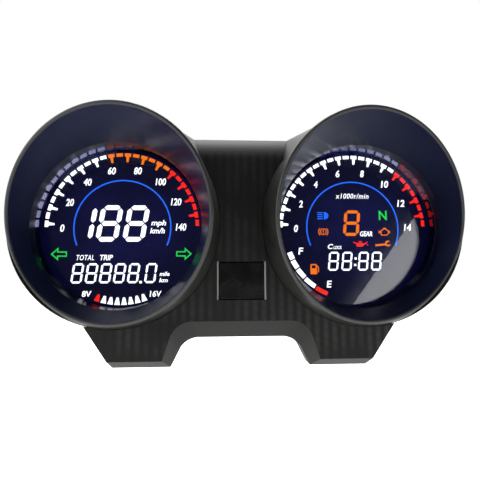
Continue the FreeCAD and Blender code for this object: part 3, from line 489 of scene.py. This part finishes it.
def display_glass():
    """Soda-lime glass of a liquid-crystal cell: near black, with stray blue light round what is lit."""
    colours = bpy.context.scene.cluster_colours
    material, tree, shader = new_finish("soda_lime_lcd_cell", IOR=1.52, Roughness=0.12)
    spot, xyz = where(tree)
    radius = from_dial_axis(tree, xyz)
    core = add(tree, RANGE, [radius, 6 * MM, 45 * MM, 1.0, 0.3], interpolation_type="SMOOTHSTEP")
    uneven = add(tree, RANGE, [add(tree, NOISE, [spot, lumps(22), 2.0]), 0.3, 0.7, 0.55, 1.0])
    glass, glow = colours.glass, colours.glow
    feed(tree, shader,
         Base_Color=add(tree, MIX, [uneven, glass, brighter(glass, 1.5)], data_type="RGBA"),
         Emission_Color=add(tree, MIX, [core, brighter(glow, 0.1), glow], data_type="RGBA"),
         Emission_Strength=add(tree, MATH, [uneven, 0.55], operation="MULTIPLY"))
    return material


def lit(name, colour, strength):
    """Backlit printing on the cell: even light with a slight mottle from the guide behind it."""
    material, tree, shader = new_finish(name, Roughness=0.3, Base_Color=brighter(colour, 0.4))
    mottle = add(tree, RANGE, [add(tree, NOISE, [where(tree)[0], lumps(3), 1.0]), 0.3, 0.7, 0.9, 1.0])
    feed(tree, shader,
         Emission_Color=add(tree, MIX, [mottle, brighter(colour, 0.8), colour], data_type="RGBA"),
         Emission_Strength=add(tree, MATH, [mottle, strength], operation="MULTIPLY"))
    return material


def solder_mask():
    """Glass-epoxy board under green solder mask: fine copper lines show as lighter tracks."""
    material, tree, shader = new_finish("fr4_solder_mask", IOR=1.5, Roughness=0.3)
    spot, xyz = where(tree)
    region = add(tree, MATH, [add(tree, NOISE, [spot, lumps(9), 0.0]), 0.5], operation="GREATER_THAN")
    way = add(tree, MIX, [region, xyz["X"], xyz["Z"]])
    pitch = 1.2 * MM
    wave = add(tree, MATH, [add(tree, MATH, [way, pitch], operation="DIVIDE"), 0.5], operation="PINGPONG")
    track = add(tree, MATH, [wave, 0.14], operation="LESS_THAN")
    feed(tree, shader,
         Base_Color=add(tree, MIX, [track, linear("#0d3a1e"), linear("#2a7340")], data_type="RGBA"),
         Normal=add(tree, "ShaderNodeBump", {"Height": track, "Distance": 0.035 * MM, "Strength": 1.0}))
    return material


# ---- operators ----------------------------------------------------------------------------------
class CLUSTER_OT_hoods(bpy.types.Operator):
    """Finish both hoods."""
    bl_idname = "cluster.hoods"
    bl_label = "Hoods"

    def execute(self, context):
        dress(satin_abs_hood(), "left_hood", "right_hood")
        return {"FINISHED"}


class CLUSTER_OT_fascia(bpy.types.Operator):
    """Finish the bridge with its legs, and the mode button."""
    bl_idname = "cluster.fascia"
    bl_label = "Fascia and button"

    def execute(self, context):
        colours = context.scene.cluster_colours
        dress(woven_abs_fascia(), "fascia")
        # ABS from a smooth tool: near black, with a small clean highlight
        dress(moulded("abs_moulded_smooth", colours.button, 0.3, 0.2, 0.004, ior=1.35), "mode_button")
        # silicone rubber: milky grey and dull
        dress(moulded("silicone_moulded_grey", linear("#8d9094"), 0.4, 0.5), "button_membrane")
        return {"FINISHED"}


class CLUSTER_OT_windows(bpy.types.Operator):
    """Finish the lenses and the display cells with what stands behind them."""
    bl_idname = "cluster.windows"
    bl_label = "Lenses and displays"

    def execute(self, context):
        lens = polished_acrylic()
        cell = display_glass()
        # acrylic with a diffuser moulded in: cloudy white, so that no lamp shows as a spot
        guide = moulded("pmma_diffusing", linear("#dfe4ee"), 0.6, 0.45)
        # moulded polycarbonate: warm white with a soft gloss
        holder = moulded("polycarbonate_white", linear("#e9e8e2"), 0.4, 0.4)
        # moulded silicone with conducting layers: dull pink
        strip = moulded("silicone_striped", linear("#c9a6aa"), 0.3, 0.6)
        # moulded EPDM rubber: black with no shine
        gasket = moulded("epdm_moulded", linear("#151515"), 0.5, 0.75)
        for side in SIDES:
            dress(lens, side + "_lens")
            dress(cell, side + "_display_glass")
            dress(guide, side + "_light_guide")
            dress(holder, side + "_display_holder")
            dress(strip, side + "_contact_strips")
            dress(gasket, side + "_lens_gasket", side + "_case_seal")
        dress(gasket, "socket_seal", "stay_dampers")
        return {"FINISHED"}


# The scales run clockwise. Angles are in degrees from the right.
SCALE_START = 177.4
SCALE_STEP = 12.87
HEAD_HALF = 2.4         # half the stretch of a tick's head
DASH_HALF = 2.45        # half the stretch of the dash between two ticks
NUMBER_R = 35.0
NUMBER_HEIGHT = 4.3
NUMBER_WIDTHS = (2.4, 4.7, 6.3)     # of one, two and three figures
NUMBERS = 8
SCALE_COLOURS = {"left": "w" * 6 + "o" * 4 + "r" * 4, "right": "w" * 10 + "r" * 4}
SCALE_NAMES = {"w": "white", "o": "orange", "r": "red"}
SCALE_TOP = {"left": 20, "right": 2}


def lit_finishes():
    """The five lit colours, made once."""
    colours = bpy.context.scene.cluster_colours
    strengths = {"white": 1.6, "orange": 1.0, "red": 1.05, "blue": 1.1, "green": 1.0}
    made = {}
    for name, strength in strengths.items():
        title = "backlit_print_" + name
        made[name] = bpy.data.materials.get(title) or lit(title, getattr(colours, name), strength)
    return made


class CLUSTER_OT_scales(bpy.types.Operator):
    """Light the ring scales with their numbers, and the blue arcs."""
    bl_idname = "cluster.scales"
    bl_label = "Scales"

    def execute(self, context):
        sizes = context.scene.cluster_displays
        inks = lit_finishes()
        ring = sizes.ring / MM
        inner = ring - sizes.ring_band / MM
        for side, letters in SCALE_COLOURS.items():
            groups = {}
            for i, letter in enumerate(letters):
                at = SCALE_START - i * SCALE_STEP
                shapes = groups.setdefault(letter, [])
                shapes += self.tick(at, ring, inner, sizes.tick / MM)
                between = at - SCALE_STEP / 2
                shapes.append(band(inner, ring, between - DASH_HALF, between + DASH_HALF))
            for letter, shapes in groups.items():
                ink = SCALE_NAMES[letter]
                plate(f"{side}_scale_{ink}", side, shapes, inks[ink])
            arc = sizes.arc / MM
            plate(side + "_arc", side, bands(arc - sizes.arc_band / MM, arc, -22.4, 202.4, 3), inks["blue"])
            words = []
            for n in range(NUMBERS):
                x, z = polar(NUMBER_R, 180.7 - n * 2 * SCALE_STEP)
                text = str(n * SCALE_TOP[side])
                # the left scale's wider numbers sit a little further up and right towards the top
                high = z / NUMBER_R if side == "left" else 0.0
                width = NUMBER_WIDTHS[len(text) - 1]
                words.append((text, x - 0.3 + 1.2 * high, z + 0.6 * high, NUMBER_HEIGHT, width, 0.16))
            lettering(side + "_scale_numbers", side, words, inks["white"])
        return {"FINISHED"}

    def tick(self, at, ring, inner, length):
        """A head on the ring and a narrower stem towards the axis."""
        head = band(inner, ring, at - HEAD_HALF, at + HEAD_HALF)
        root, foot = inner + 0.01, inner - length
        wide, narrow = math.degrees(0.95 / inner), math.degrees(0.6 / foot)
        stem = [polar(root, at - wide), polar(root, at + wide),
                polar(foot, at + narrow), polar(foot, at - narrow)]
        return [head, stem]


BATTERY_START = 252.2
BATTERY_STEP = 5.07
BATTERY_BARS = 8


class CLUSTER_OT_speed(bpy.types.Operator):
    """Light the speed, the distance, the direction arrows and the battery bar of the left display."""
    bl_idname = "cluster.speed"
    bl_label = "Speed display"

    def execute(self, context):
        sizes = context.scene.cluster_displays
        inks = lit_finishes()
        height = sizes.figure / MM
        plate("left_speed_figures", "left",
              figures(zip("188", (-31.2, -16.1, -0.3)), -8.6, 13.1, height, 2.8, 0.16), inks["white"])
        distance = zip("88888.0", (-29.6, -21.4, -13.2, -5.05, 3.1, 11.2, 13.2))
        plate("left_distance_figures", "left", figures(distance, -33.3, 6.5, 11.8, 1.2, 0.13), inks["white"])
        words = [("mph", 21.3, 2.9, 3.3, 8.9, 0.2), ("km/h", 20.7, -1.9, 3.3, 8.7, 0.2),
                 ("TOTAL", -21.3, -18.0, 3.2, 10.3, 0.2), ("TRIP", -9.0, -18.0, 3.2, 7.5, 0.2),
                 ("mile", 25.3, -27.8, 2.5, 5.9, 0.2), ("km", 24.7, -31.5, 2.5, 5.1, 0.2),
                 ("8V", -19.8, -39.3, 3.4, 5.6, 0.1), ("16V", 20.2, -39.5, 3.4, 6.9, 0.1)]
        lettering("left_unit_signs", "left", words, inks["white"])
        arrows = [shape for way in (-1, 1) for shape in self.arrow(way)]
        plate("left_direction_arrows", "left", arrows, inks["green"])
        bars = [self.battery_bar(i) for i in range(BATTERY_BARS)]
        plate("left_battery_low", "left", bars[:1], inks["red"])
        plate("left_battery_bars", "left", bars[1:], inks["white"])
        return {"FINISHED"}

    def arrow(self, way):
        """Outline arrow, as a strip of constant width round its shape."""
        centre = Vector((36.7 * way, -16.0))
        stroke = 0.75
        corners = [(-4.7, 1.6), (0.3, 1.6), (0.3, 3.9), (4.7, 0), (0.3, -3.9), (0.3, -1.6), (-4.7, -1.6)]
        outer = [centre + Vector((x * way, z)) for x, z in corners]
        inset = [(-4.7 + stroke, 1.6 - stroke), (0.3 + stroke, 1.6 - stroke),
                 (0.3 + stroke, 3.9 - 2.3 * stroke), (4.7 - 1.5 * stroke, 0),
                 (0.3 + stroke, -3.9 + 2.3 * stroke), (0.3 + stroke, -1.6 + stroke),
                 (-4.7 + stroke, -1.6 + stroke)]
        inner = [centre + Vector((x * way, z)) for x, z in inset]
        shapes = []
        for i in range(len(outer)):
            j = (i + 1) % len(outer)
            shapes.append([tuple(outer[i]), tuple(outer[j]), tuple(inner[j]), tuple(inner[i])])
        return shapes

    def battery_bar(self, i):
        """One bar of the battery scale: a wedge that stands on the lower rim."""
        at = BATTERY_START + i * BATTERY_STEP
        top, foot = 41.7, 46.0
        return [polar(top, at + 0.9), polar(top, at - 0.9), polar(foot, at - 2.05), polar(foot, at + 2.05)]


# Where each cell of the fuel bar starts and ends, in degrees from the right.
FUEL_CELLS = ((201.0, 207.2), (208.2, 215.2), (216.4, 224.8), (226.0, 236.0), (237.2, 247.4))


class CLUSTER_OT_engine(bpy.types.Operator):
    """Light the gear, the clock and the fuel bar of the right display."""
    bl_idname = "cluster.engine"
    bl_label = "Engine display"

    def execute(self, context):
        inks = lit_finishes()
        gear = [("8", -6.3)]
        plate("right_gear_figure", "right", figures(gear, -5.1, 9.9, 15.9, 1.9, 0.1), inks["orange"])
        clock = zip("88:88", (-16.3, -8.0, 0.4, 2.2, 10.4))
        plate("right_clock_figures", "right", figures(clock, -26.4, 6.3, 11.5, 1.1, 0.11), inks["white"])
        words = [("x1000r/min", 0.3, 19.9, 3.3, 20.8, 0.2), ("GEAR", 8.4, -3.7, 3.1, 7.8, 0.2),
                 ("C", -14.2, -11.6, 3.0, 3.3, 0.2), ("LOCK", -9.7, -12.2, 1.9, 5.2, 0.2),
                 ("F", -32.6, -14.3, 4.1, 3.2, 0.12), ("E", -15.6, -34.4, 4.1, 3.2, 0.12)]
        lettering("right_unit_signs", "right", words, inks["white"])
        # the cells widen and move out a little towards the empty end
        cells = [band(40.8 + 0.4 * i, 43.9 + 0.25 * i, *ends) for i, ends in enumerate(FUEL_CELLS)]
        plate("right_fuel_bars", "right", cells[:4], inks["white"])
        plate("right_fuel_low", "right", cells[4:], inks["red"])
        return {"FINISHED"}


def shifted(outline, x, z, scale=1.0):
    return [(x + px * scale, z + pz * scale) for px, pz in outline]


def stroke_line(a, b, width):
    a, b = Vector(a), Vector(b)
    along = (b - a).normalized()
    side = Vector((-along.y, along.x)) * width / 2
    return [tuple(p) for p in (a + side, b + side, b - side, a - side)]


def loop_of(points, width):
    """Strips round a closed outline."""
    return [stroke_line(a, b, width) for a, b in zip(points, points[1:] + points[:1])]


class CLUSTER_OT_telltales(bpy.types.Operator):
    """Light the warning signs of the right display."""
    bl_idname = "cluster.telltales"
    bl_label = "Warning signs"

    def execute(self, context):
        inks = lit_finishes()
        plate("right_beam_sign", "right", self.beam(-18.4, 7.4), inks["blue"])
        lettering("right_neutral_sign", "right", [("N", 19.3, 7.9, 5.8, 5.1, 0.0)], inks["green"])
        orange = self.brake(-18.4, -2.5) + self.engine(19.8, -2.7) + self.wrench(18.8, -10.4)
        plate("right_service_signs", "right", orange + self.pump(-24.4, -25.4), inks["orange"])
        plate("right_oil_sign", "right", self.oil_can(4.6, -10.1), inks["red"])
        return {"FINISHED"}

    def beam(self, x, z):
        bowl = band(0.01, 2.3, -90, 90, 15)
        shapes = [shifted([(px * 1.25, pz) for px, pz in bowl], x + 0.6, z)]
        for level in (-1.9, -0.65, 0.65, 1.9):
            shapes.append(stroke_line((x - 3.5, z + level), (x - 0.1, z + level), 0.6))
        return shapes

    def brake(self, x, z):
        shapes = [shifted(s, x, z) for s in bands(1.55, 2.05, 0, 360, 20)]
        for way in (0, 180):
            shapes += [shifted(s, x, z) for s in bands(2.65, 3.15, way - 48, way + 48, 16)]
        shapes.append(stroke_line((x, z + 1.0), (x, z - 0.2), 0.6))
        shapes.append(stroke_line((x, z - 0.65), (x, z - 1.15), 0.6))
        return shapes

    def engine(self, x, z):
        block = [(-2.0, -1.9), (-2.0, 1.1), (-1.1, 1.1), (-0.5, 1.9), (1.3, 1.9), (1.9, 1.0), (2.6, 1.0),
                 (2.6, -1.0), (1.5, -1.9)]
        shapes = loop_of(shifted(block, x, z), 0.55)
        shapes.append(stroke_line((x - 3.2, z - 0.9), (x - 3.2, z + 0.9), 0.55))
        shapes.append(stroke_line((x - 3.2, z), (x - 2.0, z), 0.55))
        shapes.append(stroke_line((x + 3.3, z - 0.8), (x + 3.3, z + 0.9), 0.55))
        shapes.append(stroke_line((x - 0.6, z + 2.4), (x + 1.2, z + 2.4), 0.5))
        return shapes

    def wrench(self, x, z):
        shaft = stroke_line((x - 4.3, z - 0.5), (x + 1.9, z + 0.1), 1.1)
        jaw = [shifted(s, x + 3.1, z + 0.6) for s in bands(0.9, 1.8, 60, 330, 18)]
        return [shaft, stroke_line((x - 4.4, z - 1.1), (x - 4.4, z + 0.1), 0.9)] + jaw

    def oil_can(self, x, z):
        body = [(-2.6, -1.6), (-2.6, 0.7), (1.2, 0.7), (2.4, -0.1), (1.2, -1.6)]
        shapes = [shifted(body, x, z), stroke_line((x + 2.0, z - 0.4), (x + 4.3, z + 1.2), 0.7)]
        shapes.append(stroke_line((x - 2.6, z + 0.3), (x - 4.4, z + 1.2), 0.7))
        shapes.append(stroke_line((x - 1.2, z + 1.5), (x + 0.9, z + 1.5), 0.6))
        shapes.append(stroke_line((x - 0.2, z + 0.7), (x - 0.2, z + 1.5), 0.6))
        shapes.append(shifted([(4.4, 0.1), (4.8, -0.7), (4.4, -1.1), (4.0, -0.7)], x, z))
        return shapes

    def pump(self, x, z):
        casing = [(-2.1, -2.6), (-2.1, 2.7), (1.1, 2.7), (1.1, -2.6)]
        shapes = loop_of(shifted(casing, x, z), 0.8)
        shapes.append(stroke_line((x - 2.4, z - 2.7), (x + 1.5, z - 2.7), 0.8))
        shapes.append(shifted([(-2.0, -2.4), (1.0, -2.4), (1.0, 0.5), (-2.0, 0.5)], x, z))
        hose = [(1.2, 2.2), (2.4, 1.2), (2.4, -1.6), (1.9, -1.9)]
        hose = shifted(hose, x, z)
        return shapes + [stroke_line(a, b, 0.6) for a, b in zip(hose, hose[1:])]


class CLUSTER_OT_housing(bpy.types.Operator):
    """Finish the rear housing and its breather."""
    bl_idname = "cluster.housing"
    bl_label = "Rear housing"

    def execute(self, context):
        colours = context.scene.cluster_colours
        # spark erosion leaves pits of about 0.1 mm; they are drawn 0.5 mm wide so that they show
        dress(moulded("abs_spark_eroded", colours.housing, 0.5, 0.5, 0.03), "rear_housing")
        # moulded soft plastic: black and dull
        dress(moulded("tpe_moulded", linear("#101010"), 0.4, 0.65), "vent_plug")
        return {"FINISHED"}


# The cable neck's turned sizes.
NECK_PITCH = 1.0
THREAD_DEPTH = 0.6
THREAD_ROWS = 8         # rings of points to each turn of the thread
ROOT_R = 7.0            # M14 root for the neck's own nut
TIP_R = 6.0             # M12 end for the cable's ring nut
NECK_FLANGE_T = 2.2
SPINDLE_BORE_R = 2.56
FERRULE_R = 4.2
FERRULE_DEPTH = 6.0


class CLUSTER_OT_cable_neck(bpy.types.Operator):
    """Build the threaded cable neck, and finish its nut, spindle and magnet."""
    bl_idname = "cluster.cable_neck"
    bl_label = "Cable neck"

    def execute(self, context):
        # die-cast zinc: blue-grey, with the soft flow marks of the die
        zinc = metal("zinc_die_cast", "#a4a6a8", 0.32, 0.8)
        neck = self.build(zinc)
        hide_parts("cable_neck")
        # zinc-plated steel: pale and bright
        dress(metal("steel_zinc_plated", "#c3c2ba", 0.3, 0.4, "Z"), "neck_nut")
        # ground steel: fine bright lines round the shaft
        dress(metal("steel_ground", "#b9bab9", 0.22, 0.2), "drive_spindle")
        # sintered ferrite: charcoal grey and matt
        dress(moulded("ferrite_sintered", linear("#2a2a2c"), 0.2, 0.6), "spindle_magnet")
        return {"FINISHED"}

    def build(self, material):
        """A tube turned about its axis: a clamped root, a free end, both threaded, and the cable's seat."""
        low, high = (Vector(corner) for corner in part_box("cable_neck"))
        axis = (low + high) / 2
        front, back = low.y / MM, high.y / MM
        flange_r = (high.x - low.x) / 2 / MM
        flange_back = front + NECK_FLANGE_T
        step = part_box("neck_nut")[1][1] / MM + 0.6
        threads = ((ROOT_R, flange_back + 0.7, step - 0.4), (TIP_R, step + 0.5, back - 0.7))
        root_core, tip_core = ROOT_R - THREAD_DEPTH, TIP_R - THREAD_DEPTH
        rings = [(SPINDLE_BORE_R, front, None), (flange_r, front, None), (flange_r, flange_back, None),
                 (root_core, flange_back, None)]
        for major, start, end in threads:
            rows = int((end - start) / NECK_PITCH * THREAD_ROWS)
            rings += [(major, start + (end - start) * i / rows, (start, end)) for i in range(rows + 1)]
            if major == ROOT_R:
                rings += [(root_core, step, None), (tip_core, step, None)]
        seat = back - FERRULE_DEPTH
        rings += [(tip_core, back, None), (FERRULE_R, back, None), (FERRULE_R, seat, None),
                  (SPINDLE_BORE_R, seat, None)]
        count = 64
        form = bmesh.new()
        grid = []
        for radius, depth, thread in rings:
            row = []
            for k in range(count):
                turn = k / count
                r = radius
                if thread:
                    # the ridge winds round and runs out over 0.8 mm at both ends of the thread
                    phase = (depth / NECK_PITCH + turn) % 1.0
                    fade = min(1.0, (depth - thread[0]) / 0.8 + 0.05, (thread[1] - depth) / 0.8 + 0.05)
                    r = radius - THREAD_DEPTH + THREAD_DEPTH * fade * (1 - abs(2 * phase - 1))
                x = axis.x + r * MM * math.cos(turn * math.tau)
                z = axis.z + r * MM * math.sin(turn * math.tau)
                row.append(form.verts.new((x, depth * MM, z)))
            grid.append(row)
        for a, b in zip(grid, grid[1:] + grid[:1]):
            for k in range(count):
                form.faces.new((a[k], a[(k + 1) % count], b[(k + 1) % count], b[k]))
        bmesh.ops.recalc_face_normals(form, faces=form.faces)
        mesh = bpy.data.meshes.new("cable_neck_threaded")
        form.to_mesh(mesh)
        form.free()
        return piece("cable_neck_threaded", mesh, material)


class CLUSTER_OT_wiring(bpy.types.Operator):
    """Finish the harness socket with its pins, the ribbons and their sockets."""
    bl_idname = "cluster.wiring"
    bl_label = "Wiring"

    def execute(self, context):
        # glass-filled nylon: black, with a satin skin
        dress(moulded("nylon_moulded_black", linear("#161718"), 0.4, 0.42), "harness_socket")
        # undyed nylon: cream, with a satin skin
        dress(moulded("nylon_moulded_natural", linear("#e6dfc8"), 0.4, 0.45), "link_sockets")
        # drawn brass: yellow, with fine lines along the draw
        dress(metal("brass_drawn", "#d8b563", 0.2, 0.3), "harness_pins", "stay_inserts")
        # polyester film over flat wires: pale grey with a low sheen
        dress(moulded("polyester_ribbon", linear("#9ea2a8"), 0.8, 0.35), "board_link_ribbon", "button_ribbon")
        return {"FINISHED"}


class CLUSTER_OT_boards(bpy.types.Operator):
    """Finish the boards and what is soldered to them."""
    bl_idname = "cluster.boards"
    bl_label = "Boards"

    def execute(self, context):
        dress(solder_mask(), "left_board", "right_board", "button_board")
        # moulded epoxy: charcoal and finely matt
        epoxy = moulded("epoxy_moulded", linear("#1c1c1e"), 0.2, 0.5)
        dress(epoxy, "controller_chip", "display_driver_chip", "voltage_regulator", "speed_sensor")
        # shrunk polyester sleeve: dark blue and glossy
        dress(moulded("pet_shrink_sleeve", linear("#14182c"), 1.0, 0.3), "capacitors")
        # silicone filled with phosphor: pale yellow domes
        phosphor = moulded("silicone_phosphor", linear("#efe9c8"), 0.3, 0.4)
        dress(phosphor, "left_backlight_leds", "right_backlight_leds")
        return {"FINISHED"}


class CLUSTER_OT_fasteners(bpy.types.Operator):
    """Finish the screws."""
    bl_idname = "cluster.fasteners"
    bl_label = "Fasteners"

    def execute(self, context):
        # zinc-plated and passivated steel: bright, with a faint straw tint
        steel = metal("steel_zinc_passivated", "#c9c7bb", 0.28, 0.35, "X")
        dress(steel, "case_screws", "fascia_screws", "board_screws")
        return {"FINISHED"}


class CLUSTER_OT_stage(bpy.types.Operator):
    """Set the floor, the lights, the surroundings and the camera."""
    bl_idname = "cluster.stage"
    bl_label = "Stage"

    def execute(self, context):
        scene = context.scene
        settings = scene.cluster_stage
        self.floor(scene, settings)
        self.surroundings(scene)
        dials = Vector((0, LENS_FACE + 1 * MM, DIAL["left"].z))
        self.softbox("overhead", dials + Vector((0.0, 0.1, 0.75)), dials, (0.4, 0.6), 10.0)
        self.softbox("left_fill", dials + Vector((-0.9, -0.4, 0.3)), dials, (0.4, 0.6), 4.0)
        self.card(dials, settings)
        self.camera(scene, settings, dials)
        scene.view_settings.view_transform = "Standard"
        return {"FINISHED"}

    def floor(self, scene, settings):
        # matt paint, faintly uneven, that glows a little so that it stays white to its edges
        material, tree, shader = new_finish("painted_floor", Roughness=0.75, Emission_Strength=0.7)
        tone = add(tree, RANGE, [add(tree, NOISE, [where(tree)[0], lumps(150), 3.0]), 0.3, 0.7, 0.0, 1.0])
        colour = scene.cluster_colours.floor
        pale = add(tree, MIX, [tone, brighter(colour, 0.98), colour], data_type="RGBA")
        feed(tree, shader, Base_Color=pale, Emission_Color=pale)
        far = 6.0
        # it ends a little way in front, where the lenses would mirror it
        near = -0.6
        level = CAD_BOX[0][2] - settings.floor_drop
        corners = [(-far, near, level), (far, near, level), (far, far, level), (-far, far, level)]
        mesh = bpy.data.meshes.new("floor")
        mesh.from_pydata(corners, [], [(0, 1, 2, 3)])
        mesh.materials.append(material)
        made = bpy.data.objects.new("floor", mesh)
        scene.collection.objects.link(made)

    def surroundings(self, scene):
        """White to the eye. As light it is bright behind and overhead and dim on the rider's side."""
        world = bpy.data.worlds.new("studio")
        world.use_nodes = True
        tree = world.node_tree
        shade = next(n for n in tree.nodes if n.type == "BACKGROUND")
        seen = add(tree, "ShaderNodeLightPath").outputs["Is Camera Ray"]
        sky = add(tree, "ShaderNodeTexCoord").outputs["Generated"]
        way = add(tree, "ShaderNodeSeparateXYZ", [sky]).outputs
        behind = add(tree, RANGE, [way["Y"], -0.3, 0.6, 0.03, 1.0], interpolation_type="SMOOTHSTEP")
        above = add(tree, RANGE, [way["Z"], 0.45, 0.95, 0.0, 0.9], interpolation_type="SMOOTHSTEP")
        light = add(tree, MATH, [behind, above], operation="MAXIMUM")
        feed(tree, shade, Color=linear("#ffffff"),
             Strength=add(tree, MATH, [light, seen], operation="MAXIMUM"))
        scene.world = world

    def softbox(self, name, at, aim, size, power):
        light = bpy.data.lights.new(name, "AREA")
        light.shape = "RECTANGLE"
        light.size, light.size_y = size
        light.energy = power
        made = bpy.data.objects.new(name, light)
        made.location = at
        made.rotation_euler = (aim - at).to_track_quat("-Z", "Y").to_euler()
        bpy.context.scene.collection.objects.link(made)

    def card(self, dials, settings):
        """A grey card on the rider's right, whose slanting edge the right lens mirrors."""
        light = bpy.data.lights.new("right_card", "AREA")
        light.shape = "RECTANGLE"
        light.size = 0.26
        light.size_y = 0.62
        light.energy = 1.1
        made = bpy.data.objects.new("right_card", light)
        eye = dials + Vector((-settings.camera_left, settings.camera_reach, -settings.camera_drop))
        far = 1.0
        # the edge as the right lens shows it, from its axis, carried out along the mirrored sight lines
        out = []
        for x, z in ((45.5, 16.5), (3.7, -38.4)):
            spot = DIAL["right"] + Vector((x * MM, 0, z * MM))
            on = (spot - eye) * far / (eye.y - spot.y)
            out.append(Vector((spot.x + on.x, dials.y - far, spot.z + on.z)))
        along = (out[0] - out[1]).normalized()
        side = Vector((along.z, 0, -along.x))
        made.location = (out[0] + out[1]) / 2 + side * light.size / 2
        made.rotation_euler = Matrix((side, along, side.cross(along))).transposed().to_euler()
        bpy.context.scene.collection.objects.link(made)

    def camera(self, scene, settings, dials):
        camera = bpy.data.cameras.new("camera")
        camera.lens = settings.lens
        camera.sensor_width = 36.0
        camera.clip_start = 0.01
        made = bpy.data.objects.new("camera", camera)
        made.location = dials + Vector((-settings.camera_left, -settings.camera_reach, -settings.camera_drop))
        made.rotation_euler = [math.radians(turn) for turn in (95.65, 0.28, -2.87)]
        scene.collection.objects.link(made)
        scene.camera = made


class CLUSTER_PT_panel(bpy.types.Panel):
    """Lists the settings and the steps."""
    bl_idname = "CLUSTER_PT_panel"
    bl_label = "Instrument cluster"
    bl_space_type = "VIEW_3D"
    bl_region_type = "UI"
    bl_category = "Cluster"

    def draw(self, context):
        scene = context.scene
        for group in (scene.cluster_colours, scene.cluster_displays, scene.cluster_stage):
            box = self.layout.box()
            for name in group.__annotations__:
                box.prop(group, name)
        for step in STEPS:
            self.layout.operator(step.bl_idname)


STEPS = (CLUSTER_OT_stage, CLUSTER_OT_hoods, CLUSTER_OT_fascia, CLUSTER_OT_windows, CLUSTER_OT_scales,
         CLUSTER_OT_speed, CLUSTER_OT_engine, CLUSTER_OT_telltales, CLUSTER_OT_housing, CLUSTER_OT_cable_neck,
         CLUSTER_OT_wiring, CLUSTER_OT_boards, CLUSTER_OT_fasteners)
GROUPS = {"cluster_colours": ClusterColours, "cluster_displays": DisplaySizes, "cluster_stage": StageSettings}


def register():
    for kind in (*GROUPS.values(), *STEPS, CLUSTER_PT_panel):
        bpy.utils.register_class(kind)
    for name, kind in GROUPS.items():
        setattr(bpy.types.Scene, name, bpy.props.PointerProperty(type=kind))


def unregister():
    for name in GROUPS:
        delattr(bpy.types.Scene, name)
    for kind in reversed((*GROUPS.values(), *STEPS, CLUSTER_PT_panel)):
        bpy.utils.unregister_class(kind)


def main():
    register()
    for step in STEPS:
        group, name = step.bl_idname.split(".")
        getattr(getattr(bpy.ops, group), name)()


if __name__ == "__main__":
    main()
